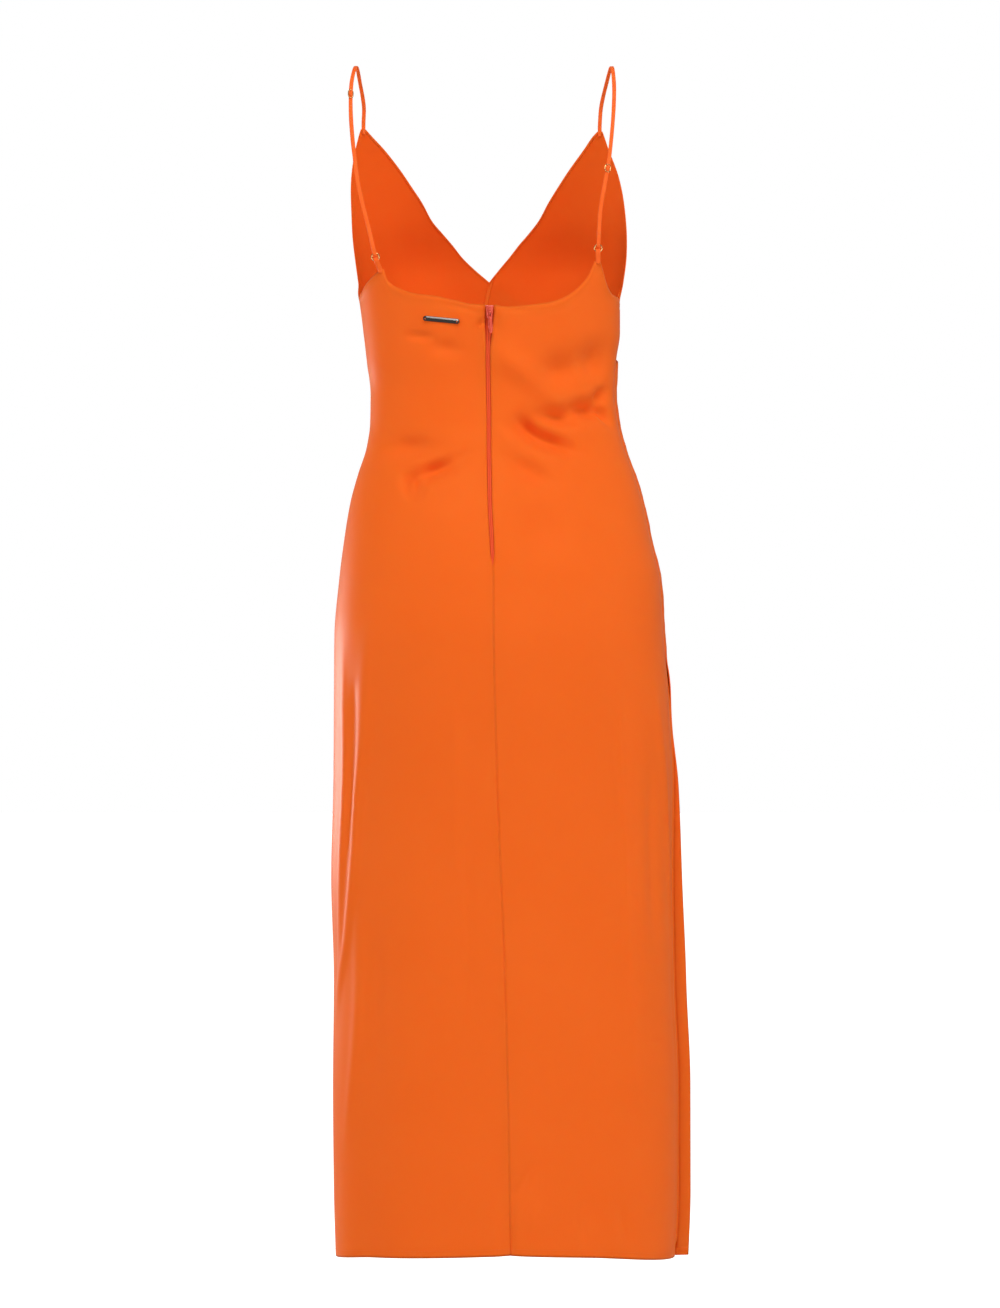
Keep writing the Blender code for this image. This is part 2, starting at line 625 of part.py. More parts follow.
def wire(name, corners, thick, closed):
    """Round wire along a poly line of points."""
    line = bpy.data.curves.new(name, "CURVE")
    line.dimensions = "3D"
    line.bevel_depth = thick * MM
    line.bevel_resolution = 1
    line.use_fill_caps = not closed
    spline = line.splines.new("POLY")
    spline.points.add(len(corners) - 1)
    for point, place in zip(spline.points, corners):
        point.co = (*(place * MM), 1.0)
    spline.use_cyclic_u = closed
    piece = bpy.data.objects.new(name, line)
    dress.objects.link(piece)
    return as_mesh(piece)


def plate(name, halves, thick):
    """Flat plate, the same on both sides of x = 0, from right half outlines; inner ones are holes."""
    shape = bpy.data.curves.new(name, "CURVE")
    shape.dimensions = "2D"
    shape.fill_mode = "BOTH"
    shape.extrude = thick / 2 * MM
    for half in halves:
        outline = list(half) + [(-x, z) for x, z in reversed(half)]
        spline = shape.splines.new("POLY")
        spline.points.add(len(outline) - 1)
        for point, (x, z) in zip(spline.points, outline):
            point.co = (x * MM, z * MM, 0.0, 1.0)
        spline.use_cyclic_u = True
    piece = bpy.data.objects.new(name, shape)
    dress.objects.link(piece)
    solid = as_mesh(piece)
    solid.data.transform(Matrix.Rotation(pi / 2, 4, "X"))
    return solid


def as_mesh(piece):
    """Turns a curve piece into a mesh piece with welded caps, in the same place."""
    bpy.context.view_layer.update()
    graph = bpy.context.evaluated_depsgraph_get()
    mesh = bpy.data.meshes.new_from_object(piece.evaluated_get(graph))
    weld = bmesh.new()
    weld.from_mesh(mesh)
    bmesh.ops.remove_doubles(weld, verts=weld.verts, dist=0.00001)
    bmesh.ops.recalc_face_normals(weld, faces=weld.faces)
    weld.to_mesh(mesh)
    weld.free()
    name = piece.name
    solid = bpy.data.objects.new(name, mesh)
    solid.matrix_world = piece.matrix_world
    for old in list(piece.users_collection):
        old.objects.link(solid)
    bpy.data.objects.remove(piece)
    solid.name = name
    return solid


def block(name, low, high):
    """Box between two corners."""
    bpy.ops.mesh.primitive_cube_add(size=1.0)
    piece = bpy.context.object
    piece.name = name
    size = Vector(high) - Vector(low)
    middle = (Vector(high) + Vector(low)) / 2
    piece.data.transform(Matrix.LocRotScale(middle * MM, None, size * MM))
    return piece


def join(piece, tool):
    """Joins a tool, kept as a hidden guide, into a piece."""
    union = piece.modifiers.new(tool.name, "BOOLEAN")
    union.operation = "UNION"
    union.object = tool
    for old in list(tool.users_collection):
        old.objects.unlink(tool)
    cutters.objects.link(tool)
    tool.hide_render = True
    tool.display_type = "WIRE"


for old in list(bpy.data.objects):
    bpy.data.objects.remove(old, do_unlink=True)
dress = bpy.data.collections.new("wrap_dress")
cutters = bpy.data.collections.new("guides")
bpy.context.scene.collection.children.link(dress)
bpy.context.scene.collection.children.link(cutters)

# Cloth panels
panel("back_left", top_edge(False, (BACK_NECK_LEFT, NECK_COLUMNS), (BACK_ARM_LEFT, ARM_COLUMNS)),
      zip_turn(1, ZIP_OPENING), seam_turn("left back"), on_body, BACK_ROWS, SATIN)
panel("back_right", top_edge(False, (BACK_NECK_RIGHT, NECK_COLUMNS), (BACK_ARM_RIGHT, ARM_COLUMNS))[::-1],
      seam_turn("right back"), zip_turn(-1, ZIP_OPENING), on_body, BACK_ROWS, SATIN)
panel("front_left", top_edge(True, (FRONT_ARM_LEFT, ARM_COLUMNS), (FRONT_NECK_LEFT, NECK_COLUMNS),
                             (WRAP_EDGE, WRAP_COLUMNS), (WRAP_END, WRAP_END_COLUMNS)),
      seam_turn("left front"), seam_turn("right front"), over_layer, OVER_ROWS, SATIN)
panel("front_right", top_edge(True, (FRONT_ARM_RIGHT, ARM_COLUMNS), (FRONT_NECK_RIGHT, NECK_COLUMNS))[::-1],
      lambda z: curve_value(UNDERLAP, z), seam_turn("right front"), on_body, UNDER_ROWS, SATIN)

# Straps, sliders, rings and tabs
profile = oval("strap_section", STRAP_WIDE, STRAP_THICK)
sewn = {
    "front left": flat_top(True, (FRONT_ARM_LEFT[-1], FRONT_NECK_LEFT[0]), over_layer),
    "front right": flat_top(True, (FRONT_ARM_RIGHT[-1], FRONT_NECK_RIGHT[0]), on_body),
    "back left": flat_top(False, (BACK_NECK_LEFT[-1], BACK_ARM_LEFT[0]), on_body),
    "back right": flat_top(False, (BACK_NECK_RIGHT[-1], BACK_ARM_RIGHT[0]), on_body),
}
for side, line, place, height in (("left", STRAP_LEFT, RING_LEFT, SLIDER_LEFT_Z),
                                  ("right", STRAP_RIGHT, RING_RIGHT, SLIDER_RIGHT_Z)):
    whole = strap_route(line, place, sewn["front " + side], height)
    swept("strap_" + side, whole, profile, SATIN)
    slider("strap_slider_" + side, whole, height)
    ring("strap_ring_" + side, place)
    swept("ring_tab_" + side, tab_route(place, sewn["back " + side], line[-1]), profile, SATIN)

# Zip and bar
zip_tape()
zip_slider_and_pull()
label_bar()
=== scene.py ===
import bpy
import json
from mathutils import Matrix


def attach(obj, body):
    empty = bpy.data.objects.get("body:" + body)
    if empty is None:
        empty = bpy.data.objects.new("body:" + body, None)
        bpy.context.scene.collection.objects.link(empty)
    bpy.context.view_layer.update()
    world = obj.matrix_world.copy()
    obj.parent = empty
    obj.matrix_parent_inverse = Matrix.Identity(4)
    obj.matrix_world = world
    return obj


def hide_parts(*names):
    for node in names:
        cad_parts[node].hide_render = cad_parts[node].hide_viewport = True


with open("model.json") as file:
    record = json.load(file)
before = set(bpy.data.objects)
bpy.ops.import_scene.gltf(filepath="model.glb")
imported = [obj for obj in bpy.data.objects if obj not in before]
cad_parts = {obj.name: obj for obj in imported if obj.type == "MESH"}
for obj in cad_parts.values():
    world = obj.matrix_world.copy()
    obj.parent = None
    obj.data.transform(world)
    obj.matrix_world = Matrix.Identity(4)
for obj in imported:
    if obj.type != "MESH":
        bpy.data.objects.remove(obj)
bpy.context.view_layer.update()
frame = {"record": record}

import json
from math import atan2, cos, pi, radians, sin

import bmesh
import bpy
import numpy as np
from mathutils import Matrix, Vector

# ---------------------------------------------------------------------------------------------------
# Back panels. The left and the right back are each cut in one length from neck to hem, from a heavy
# polyester satin. Their edges are turned in: the neck and armhole over a narrow facing, the hem once,
# and the side and centre edges into pressed-open seams. Sizes are in millimetres.
MM = 0.001
TURN_DEGREES = {"left seam": 90.0, "right seam": 270.0, "centre, left": 0.0, "centre, right": 360.0}

# Half outlines of the worn form at each height: x of the left and right edge and of the centre seam,
# depth to the front and the back, and how square the section is (2 is an ellipse).
FORM = ("z", "left", "right", "front", "back", "centre", "square")
FORM_ROWS = (
    (-30, 164, -150, 82, 55, 4.0, 2.5),
    (-60, 163, -149, 92, 66, 4.0, 2.5),
    (-100, 161, -149, 108, 77, 3.0, 2.45),
    (-150, 154.5, -147, 124, 86, 2.0, 2.4),
    (-200, 145.5, -143, 131, 90, 1.0, 2.35),
    (-225, 142, -139, 127, 89.5, 1.0, 2.3),
    (-250, 136.5, -134, 120, 87, 1.0, 2.3),
    (-280, 132.5, -134, 110, 82, 2.0, 2.3),
    (-310, 129, -130, 102, 77, 3.0, 2.3),
    (-345, 125, -128.5, 97, 73, 2.5, 2.3),
    (-375, 125.5, -132, 96, 74, 2.0, 2.3),
    (-400, 129, -138, 97, 79, 2.0, 2.3),
    (-430, 138.5, -149, 100, 87, 1.5, 2.3),
    (-460, 146.5, -158, 104, 97, 1.0, 2.3),
    (-500, 153, -166.5, 107, 110, -1.0, 2.3),
    (-540, 158, -176, 108, 119, -2.5, 2.3),
    (-600, 163, -180, 108, 125, -3.0, 2.3),
    (-660, 163.4, -184.5, 107, 122, -4.0, 2.3),
    (-750, 164, -189, 107, 116, -6.5, 2.3),
    (-850, 166.4, -188.5, 109, 112, -10.5, 2.3),
    (-960, 163.5, -190, 112, 111, -14.8, 2.3),
    (-1070, 164.5, -194, 114, 111, -17.5, 2.3),
    (-1180, 163.5, -194, 116, 112, -19.5, 2.3),
    (-1252, 161.5, -191.5, 117, 112, -20.7, 2.3),
)
# Soft folds and fullness: a ridge at a turn and height, its reach along and across its own direction,
# its height, and its slope from the level. A height below 0 is a trough.
FOLDS = (
    (147, -202, 46, 40, 13, 90),  # fullness over the two bust darts
    (213, -202, 46, 40, 13, 90),
    (312.5, -373.5, 17, 9.5, -15.5, 12),  # creases over the right of the waist
    (319.5, -397, 24, 10, -19, 24),
    (332, -382, 13, 8.5, -10, 58),
    (296, -364, 17, 9.5, -17.5, 1),
    (288, -348.5, 10, 7, -9.5, -36),
    (286.5, -370, 9, 6, -8, 62),
    (308, -381, 22, 6, 3.4, 14),
    (334, -428.5, 20, 11, -9, 36),
    (331, -328, 40, 13, 7, 38),
    (311.5, -324, 16, 17, -10, 60),
    (294, -314, 18, 16, -10.5, 80),
    (345, -398, 26, 10, 2.2, 55),
    (334, -490, 26, 22, -8, 80),
    (35.5, -427.6, 18, 9, -15.5, -18),  # creases over the left of the waist
    (45.5, -442, 14, 7.5, -9.5, 56),
    (51.5, -403.5, 24, 11, -9, 2),
    (20, -413, 14, 6, -2.2, -20),
    (27, -476, 24, 16, 2.2, 0),
    (45, -288.5, 12, 5, -3.6, 4),
    (31, -301, 15, 8, -4, 8),
    (18, -259.6, 20, 2.6, -2, 13),  # where the neck edge is drawn in beside the zip
    (341, -262, 15, 2.6, -2.4, -2),
    (5.4, -275.4, 6, 2.4, -3.4, -42),
    (291.6, -1019.7, 12, 2.2, -0.6, 0),  # small press marks on the right of the skirt
    (312, -889, 6, 2.2, -0.5, 0),
    (298, -1078, 7, 2.2, -0.5, 90),
    (298.7, -866, 15, 2.4, -0.9, 85),
    (353, -1160, 17, 6, -1.9, 116),  # the hem draws in at the centre seam
    (347.5, -1196, 18, 8, 1.5, 104),
    (325, -1206, 22, 6, -1.6, 94),
    (308, -1202, 24, 6.5, -1.7, 78),
    (48, -1050, 150, 26, 1.6, 93),
    (352, -1080, 190, 28, 2.2, 88),
    (322, -1090, 180, 24, -1.6, 90),
    (300, -900, 190, 16, 3, 90),  # long fold near the right edge of the back
    (112, -1000, 210, 22, 3.2, 89),  # the front of the skirt
    (134, -1050, 190, 24, -2.6, 91),
    (240, -1040, 200, 26, 2.8, 90),
)
# Long folds of the hanging skirt, each as rows of height z, turn, how high and how wide.
DRAPES = (
    ((-540, 47, 0, 18), (-624, 56, 2.4, 13), (-706, 60, 3.6, 8.5), (-769, 63.8, 3.6, 6.5),
     (-831, 66, 3.4, 6), (-908, 71, 2.6, 5.5), (-968, 77.5, 1.2, 5), (-1010, 81, 0, 5)),
    ((-640, 63.5, 0, 4.5), (-680, 64.8, -2.2, 5), (-758, 67.8, -2.4, 4.5), (-811, 69.6, -1.6, 4),
     (-850, 71.5, 0, 4)),
    ((-600, 71, 0, 7), (-700, 70.6, 2.4, 5.5), (-800, 72.6, 2.6, 5), (-921, 76, 1.6, 5),
     (-990, 80, 0, 5)),
    ((-860, 62, 0, 9), (-903, 64.6, 2.4, 9), (-975, 65.6, 3.0, 9), (-1027, 67.4, 2.6, 8),
     (-1088, 70.6, 1.6, 7), (-1140, 73, 0, 7)),
    ((-880, 57, 0, 9), (-940, 58.6, -1.8, 9), (-1010, 59.5, -2.2, 10), (-1080, 60.5, -1.2, 12),
     (-1130, 62, -0.8, 18), (-1250, 64.5, -3.4, 22)),
    ((-640, 306.8, 0, 2.6), (-690, 306.3, 0.8, 2.8), (-747, 305.2, 0.9, 2.8), (-820, 303.9, 0.9, 3),
     (-923, 303.1, 1.0, 4), (-1000, 302.3, 1.2, 7), (-1120, 301, 0, 9)),
    ((-720, 293, 0, 8), (-780, 292.7, -2.0, 9), (-852, 292, -2.2, 9), (-930, 291, 0, 9)),
    ((-640, 289, 0, 8), (-686, 287.5, 1.4, 8), (-769, 283.6, 2.0, 7), (-843, 280.4, 2.0, 6),
     (-930, 277.5, 1.4, 5), (-1100, 275.5, 0.9, 4), (-1240, 275, 0, 4)),
    ((-640, 19, 0, 5), (-700, 19.4, 0.7, 5), (-800, 22, 0.7, 5), (-860, 22.8, 0, 5)),
    ((-790, 16.5, 0, 5), (-850, 17, -0.8, 5), (-947, 18.9, -0.8, 5), (-1000, 19.4, 0, 5)),
    ((-1120, 0.6, 0, 5), (-1180, 0.9, -1.3, 6), (-1224, 1.1, -2.0, 7), (-1250, 1.2, -2.0, 8)),
    ((-1160, 9, 0, 10), (-1210, 8.5, 0.9, 10), (-1250, 8, 1.3, 10)),
    ((-560, 352, 0, 16), (-620, 351, 1.2, 16), (-720, 349, 0, 16)),
    ((-600, 122, 0, 14), (-720, 119, 2.6, 12), (-900, 117, 3.4, 11), (-1100, 116, 2.4, 12),
     (-1250, 116, 2.6, 14)),
    ((-560, 150, 0, 18), (-740, 146, 2.2, 15), (-960, 143, 3.2, 13), (-1250, 141, 3.4, 16)),
    ((-640, 176, 0, 16), (-800, 172, -2.0, 14), (-1010, 170, -2.8, 14), (-1250, 169, -2.0, 16)),
    ((-600, 204, 0, 14), (-760, 196, 2.8, 12), (-980, 192, 3.8, 12), (-1250, 190, 3.2, 14)),
    ((-620, 226, 0, 10), (-760, 219, 2.4, 10), (-930, 215, 3.0, 10), (-1250, 213, 2.2, 13)),
    ((-660, 241, 0, 9), (-800, 236, -1.6, 9), (-1000, 233, -2.2, 10), (-1250, 232, -1.4, 12)),
)
HEM = ((0, -1235), (60, -1241), (90, -1248), (180, -1246), (262, -1249), (282, -1247.5),
       (320, -1238.5), (360, -1235))
ZIP_OPENING = ((-200, 4.9), (-274, 4.7), (-300, 2.8), (-512, 2.5), (-531, 0.15), (-1300, 0.15))
BACK_NECK_LEFT = (("centre, left", -257), (18, -256), (34, -252.5), (54.5, -248), (78, -244.5),
                  (92, -240), (106.5, -231), (111.6, -218.4))
BACK_ARM_LEFT = ((116.8, -220.6), (122.6, -225.0), (131.3, -233.5), (135.6, -240.5),
                 ("left seam", -243.5))
BACK_NECK_RIGHT = (("centre, right", -257), (-14, -259), (-32, -257.6), (-56, -254.4), (-71.4, -250),
                   (-87, -240.5), (-100.5, -226), (-108, -210.5))
BACK_ARM_RIGHT = ((-113.4, -210.5), (-115.6, -217), (-119, -228.5), (-122.7, -237.5),
                  (-127.3, -243), ("right seam", -246))

HIP_Z, HEM_Z = -640.0, -1250.0
CLOTH = 0.45            # thickness of one layer
OUTER = 1.2             # middle of the outer layer, out from the form
RUN_PLACES = ((0.0, 0.0), (0.4, 0.22), (0.72, 0.42), (1.0, 1.0))    # share of a column's run, how far down
SETTLED = 0.45          # share of its run in which a column goes over to its turn at the hem
# A turned edge: how deep it is turned in, how far inside the outer layer it lies, how round its fold is.
FACING, NARROW_TURN = (12.0, 0.9, 0.36), (2.6, 0.55, 0.3)
SEAM_ALLOWANCE, HEM_TURN = (9.0, 1.5, 0.08), (7.5, 0.9, 0.36)


def hermite(share, wide, start, end, start_slope, end_slope):
    """Cubic between two values and their slopes, at a share of the width between them."""
    t = share
    return ((1 + 2 * t) * (1 - t) ** 2 * start + t * (1 - t) ** 2 * wide * start_slope
            + t * t * (3 - 2 * t) * end + t * t * (t - 1) * wide * end_slope)


def curve(rows, at):
    """Values at `at` on the smooth monotone curve through (position, value) rows."""
    rows = np.asarray(rows, float)
    x, y = rows[np.argsort(rows[:, 0])].T
    chord = np.diff(y) / np.diff(x)
    slope = np.concatenate((chord[:1], np.zeros(len(x) - 2), chord[-1:]))
    same = chord[:-1] * chord[1:] > 0
    total = np.where(same, chord[:-1] + chord[1:], 1.0)
    slope[1:-1] = np.where(same, 2 * chord[:-1] * chord[1:] / total, 0.0)
    at = np.clip(at, x[0], x[-1])
    i = np.clip(np.searchsorted(x, at, side="right") - 1, 0, len(x) - 2)
    wide = x[i + 1] - x[i]
    return hermite((at - x[i]) / wide, wide, y[i], y[i + 1], slope[i], slope[i + 1])


FORM_CURVES = {name: [(row[0], row[i]) for row in FORM_ROWS] for i, name in enumerate(FORM) if i}


def form_size(name, z):
    """One named column of the form's sections, at heights z."""
    return curve(FORM_CURVES[name], z)


def ease(t):
    """Smooth step from 0 to 1."""
    t = np.clip(t, 0.0, 1.0)
    return t * t * (3 - 2 * t)


def angle_from(turn, middle):
    """Signed angle in radians from one turn to another, the short way round."""
    return np.radians((turn - middle + 180) % 360 - 180)


def reach(turn, z):
    """Distance from the middle of the form's section to its outline."""
    side, way = np.sin(np.radians(turn)), np.cos(np.radians(turn))
    centre = form_size("centre", z)
    half = np.where(side > 0, form_size("left", z) - centre, centre - form_size("right", z))
    depth = np.where(way > 0, form_size("back", z), form_size("front", z))
    square = form_size("square", z)
    return (np.abs(side / half) ** square + np.abs(way / depth) ** square) ** (-1 / square)


def fold_height(folds, turn, z, radius):
    """Summed height of a table of folds."""
    total = np.zeros(np.broadcast(turn, z).shape)
    for fold_turn, fold_z, along, across, high, slope in folds:
        level = angle_from(turn, fold_turn) * radius
        rise = z - fold_z
        way = radians(slope)
        run = (level * cos(way) + rise * sin(way)) / along
        off = (-level * sin(way) + rise * cos(way)) / across
        total += high * np.exp(-run * run - off * off)
    return total


def drape_height(turn, z, radius):
    """Summed height of the long folds."""
    total = np.zeros(np.broadcast(turn, z).shape)
    for rows in DRAPES:
        at, high, wide = (curve([(row[0], row[k]) for row in rows], z) for k in (1, 2, 3))
        off = angle_from(turn, at) * radius / wide
        total += high * np.exp(-off * off)
    return total


def on_form(turn, z, out=0.0):
    """Points of the worn form at turns and heights, moved out along its level normal."""
    turn, z = np.broadcast_arrays(np.asarray(turn, float), np.asarray(z, float))
    step = 0.3
    flat = []
    for a in (turn - step, turn, turn + step):
        r = reach(a, z)
        flat.append(np.stack((np.sin(np.radians(a)) * r, np.cos(np.radians(a)) * r), -1))
    along = flat[2] - flat[0]
    normal = np.stack((along[..., 1], -along[..., 0]), -1)
    normal /= np.linalg.norm(normal, axis=-1, keepdims=True)
    normal *= np.sign((normal * flat[1]).sum(-1, keepdims=True))
    radius = np.linalg.norm(flat[1], axis=-1)
    lift = out + fold_height(FOLDS, turn, z, radius) + drape_height(turn, z, radius)
    place = flat[1] + normal * lift[..., None]
    return np.stack((place[..., 0] + form_size("centre", z), place[..., 1], z), -1)


def turn_at(x, z, front):
    """Turn at which the form reaches x at height z, on its front or back half."""
    if x in TURN_DEGREES:
        return TURN_DEGREES[x]
    sign = 1 if x >= form_size("centre", z) else -1
    low, high = (90.0, 180.0) if front else (90.0, 0.0)
    for _ in range(40):
        middle = (low + high) / 2
        if reach(middle * sign, z) * sin(radians(middle)) > abs(x - form_size("centre", z)):
            low = middle
        else:
            high = middle
    return middle if sign > 0 else 360.0 - middle


def edge_places(edges, front, column):
    """(turn, z) rows about a column apart along a top edge made of one or more (x, z) edges."""
    places = []
    for edge in edges:
        ends = np.array([(turn_at(x, z, front), z) for x, z in edge])
        spots = on_form(ends[:, 0], ends[:, 1])
        run = np.concatenate(([0.0], np.cumsum(np.linalg.norm(np.diff(spots, axis=0), axis=1))))
        marks = np.linspace(0.0, run[-1], max(2, round(run[-1] / column)) + 1)
        rows = np.stack([curve(np.stack((run, ends[:, k]), 1), marks) for k in (0, 1)], 1)
        if places and np.abs(places[-1] - rows[0]).max() < 0.01:
            rows = rows[1:]
        places.extend(rows)
    return np.array(places)


def turned(edge):
    """Cross-section of a turned edge, from its raw end to the fold: (distance in, drop) rows."""
    deep, drop, fold = edge
    rows = [(deep * k / 4, drop) for k in (4, 3, 2, 1)]
    for k in range(1, 6):
        angle = pi * k / 6
        rows.append((fold * (1 - sin(angle)), drop * (1 + cos(angle)) / 2))
    return rows


def spread(count, fine):
    """Even shares from 0 to 1, three times as many and closing up over the first and last few."""
    even = np.linspace(0.0, 1.0, count)
    start, end = fine
    first = even[start] * np.linspace(0.0, 1.0, 1 + 3 * start)[:-1] ** 1.5
    last = 1 - (1 - even[-1 - end]) * np.linspace(1.0, 0.0, 1 + 3 * end)[1:] ** 1.5
    return np.concatenate((first, even[start:count - end], last))


def cloth_panel(name, edges, front, sides, layer, cell, turns, fine=(0, 0)):
    """Panel of one cloth layer with turned edges, from its top edges, the turns of its two side edges,
    its distance from the form, its mesh's column width and row height above and below the hip, and how
    its top, first, last and lower edge are turned in."""
    column, upper_row, lower_row = cell
    first, last = sides
    top = edge_places(edges, front, column)
    if top[0, 0] > top[-1, 0]:
        top = top[::-1]
    share = np.linspace(0.0, 1.0, len(top))
    columns = ([(0.0, inset, drop, 1) for inset, drop in turned(turns[1])]
               + [(mark, 0.0, 0.0, 0) for mark in spread(len(top), fine)]
               + [(1.0, inset, drop, -1) for inset, drop in turned(turns[2])[::-1]])
    u, inset, side_drop, way = np.array(columns).T
    top_turn = np.interp(u, share, top[:, 0])
    top_z = np.interp(u, share, top[:, 1])
    top_z = np.interp(top_turn + np.degrees(inset * way / reach(top_turn, top_z)), top[:, 0], top[:, 1])
    length = top[:, 1].max() - HEM_Z
    hip = (top[:, 1].max() - HIP_Z) / length
    marks = np.concatenate((np.linspace(0.0, hip, round(hip * length / upper_row), endpoint=False),
                            np.linspace(hip, 1.0, round((1 - hip) * length / lower_row) + 1)))
    rows = ([(0.0, below, drop) for below, drop in turned(turns[0])] + [(mark, 0.0, 0.0) for mark in marks]
            + [(1.0, -above, drop) for above, drop in turned(turns[3])[::-1]])
    down, below, end_drop = (values[:, None] for values in np.array(rows).T)
    hem_first, hem_last = first(HEM_Z), last(HEM_Z)
    hem_turn = hem_first + (hem_last - hem_first) * u
    shares = np.linspace(0.0, 1.0, 401)
    mix = ease(np.interp(down, curve(RUN_PLACES, shares), shares) / SETTLED)
    turn = top_turn + (hem_turn - top_turn) * mix
    z = top_z + (curve(HEM, hem_turn) - top_z) * down
    for edge, (edge_turn, edge_z), near in ((first, top[0], 1 - u), (last, top[-1], u)):
        hem_edge = edge(HEM_Z)
        along_z = edge_z + (curve(HEM, hem_edge) - edge_z) * down
        plain = edge_turn + (hem_edge - edge_turn) * mix
        turn = turn + near ** 4 * (edge(along_z) - plain)
    z = z - below
    turn = turn + np.degrees(inset * way / reach(turn, z))
    out = OUTER + layer(turn, z, np.maximum(top_z - z, 0.0)) - side_drop - end_drop
    return cloth_mesh(name, on_form(turn, z, out))


def new_piece(name, places, faces):
    """Smooth piece from places in millimetres and the faces between them."""
    mesh = bpy.data.meshes.new(name)
    mesh.from_pydata((np.reshape(places, (-1, 3)) * MM).tolist(), [], faces)
    mesh.shade_smooth()
    piece = bpy.data.objects.new(name, mesh)
    bpy.context.scene.collection.objects.link(piece)
    return piece


def cloth_mesh(name, places):
    """Mesh of a grid of places, facing out, with a map of its own grain in metres."""
    high, wide = places.shape[:2]
    index = np.arange(high * wide).reshape(high, wide)
    quads = np.stack((index[:-1, :-1], index[1:, :-1], index[1:, 1:], index[:-1, 1:]), -1).reshape(-1, 4)
    piece = new_piece(name, places, quads.tolist())
    mesh = piece.data
    grain = mesh.uv_layers.new(name="grain")
    step = np.linalg.norm(np.diff(places[high // 2], axis=0), axis=1)
    across = np.concatenate(([0.0], np.cumsum(step))) * MM
    spot = np.stack(np.broadcast_arrays(across[None, :], places[:, :, 2] * MM), -1).reshape(-1, 2)
    corners = np.empty(len(mesh.loops), int)
    mesh.loops.foreach_get("vertex_index", corners)
    grain.uv.foreach_set("vector", spot[corners].astype(np.float32).ravel())
    middle = mesh.polygons[(high - 1) // 2 * (wide - 1) + (wide - 1) // 2]
    if middle.normal.dot(middle.center - Vector((0.0, 0.0, middle.center.z))) < 0:
        mesh.flip_normals()
    shell = piece.modifiers.new("cloth", "SOLIDIFY")
    shell.thickness = CLOTH * MM
    shell.offset = 0.0
    shell.material_offset = 1
    shell.material_offset_rim = 0
    return piece


def srgb(code):
    """Linear RGBA of an sRGB hex colour."""
    channels = [int(code[i:i + 2], 16) / 255 for i in (0, 2, 4)]
    return (*(c / 12.92 if c <= 0.04045 else ((c + 0.055) / 1.055) ** 2.4 for c in channels), 1.0)


def new_material(name):
    """Empty node material."""
    material = bpy.data.materials.new(name)
    material.use_nodes = True
    material.node_tree.nodes.clear()
    return material


def add_node(owner, kind, settings=(), links=()):
    """Adds a shader node; settings and links are {socket name or number, or property: value}."""
    node = owner.node_tree.nodes.new(kind)
    for key, value in dict(settings).items():
        if isinstance(key, str) and hasattr(node, key) and key not in node.inputs:
            setattr(node, key, value)
        else:
            node.inputs[key].default_value = value
    for key, source in dict(links).items():
        owner.node_tree.links.new(source, node.inputs[key])
    return node


def finish(material, tone, light, deep, height, relief, settings, links=()):
    """Completes a material: two colours mixed by one texture, relief (strength, mm) from another."""
    colour = add_node(material, "ShaderNodeMix", {"data_type": "RGBA"}, {"Factor": tone.outputs["Fac"]})
    colour.inputs["A"].default_value = srgb(deep)
    colour.inputs["B"].default_value = srgb(light)
    bump = add_node(material, "ShaderNodeBump", {"Strength": relief[0], "Distance": relief[1] * MM},
                    {"Height": height.outputs["Fac"]})
    shader = add_node(material, "ShaderNodeBsdfPrincipled", settings,
                      {"Base Color": colour.outputs["Result"], "Normal": bump.outputs["Normal"],
                       **dict(links)})
    add_node(material, "ShaderNodeOutputMaterial", {}, {"Surface": shader.outputs["BSDF"]})
    return material


def satin(name, light, deep, roughness, shine, tint):
    """Polyester satin, woven with long warp floats and piece-dyed: a soft even lustre on the right
    side, duller on the wrong side, and little glare where it turns away. Real threads are 0.1 mm
    apart, drawn 0.5 mm so that they show, and a float is 9 threads long."""
    thread, float_long = 0.5, 4.5
    material = new_material(name)
    grain = add_node(material, "ShaderNodeUVMap", {"uv_map": "grain"}).outputs["UV"]
    dye = add_node(material, "ShaderNodeTexNoise", {"Scale": 9.0, "Detail": 2.0}, {"Vector": grain})
    stretch = add_node(material, "ShaderNodeMapping", {"Scale": (1000 / thread, 1000 / float_long, 1)},
                       {"Vector": grain})
    floats = add_node(material, "ShaderNodeTexNoise", {"Scale": 1.0, "Detail": 1.0},
                      {"Vector": stretch.outputs["Vector"]})
    return finish(material, dye, light, deep, floats, (0.12, 0.08),
                  {"Roughness": roughness, "IOR": 1.25, "Specular IOR Level": shine,
                   "Specular Tint": srgb(tint), "Sheen Weight": 0.02, "Sheen Roughness": 0.45,
                   "Sheen Tint": srgb(tint), "Subsurface Weight": 0.35,
                   "Subsurface Radius": (1.0, 0.35, 0.08), "Subsurface Scale": 0.0012})


satin_face = satin("polyester_satin_right_side", "F46A24", "F06620", 0.45, 0.24, "FF9A58")
satin_back = satin("polyester_satin_wrong_side", "F26420", "ED5D1C", 0.75, 0.1, "FF9458")


PANEL_GAP = 0.01        # from a seam's middle to the edge of a panel
ZIP_CLEAR = 0.14        # from a panel's edge to the zip's opening


def seam_turn(middle, way):
    """Turn of one edge of a side seam, a hair from the other edge."""
    def at(z):
        return middle + way * np.degrees(PANEL_GAP / reach(middle, z))
    return at


def zip_edge(way):
    """Turn of a back panel's centre edge: beside the zip above, at the seam below."""
    def at(z):
        half = np.maximum(curve(ZIP_OPENING, z) - ZIP_CLEAR, PANEL_GAP)
        angle = np.degrees(half / form_size("back", z))
        return angle if way > 0 else 360.0 - angle
    return at


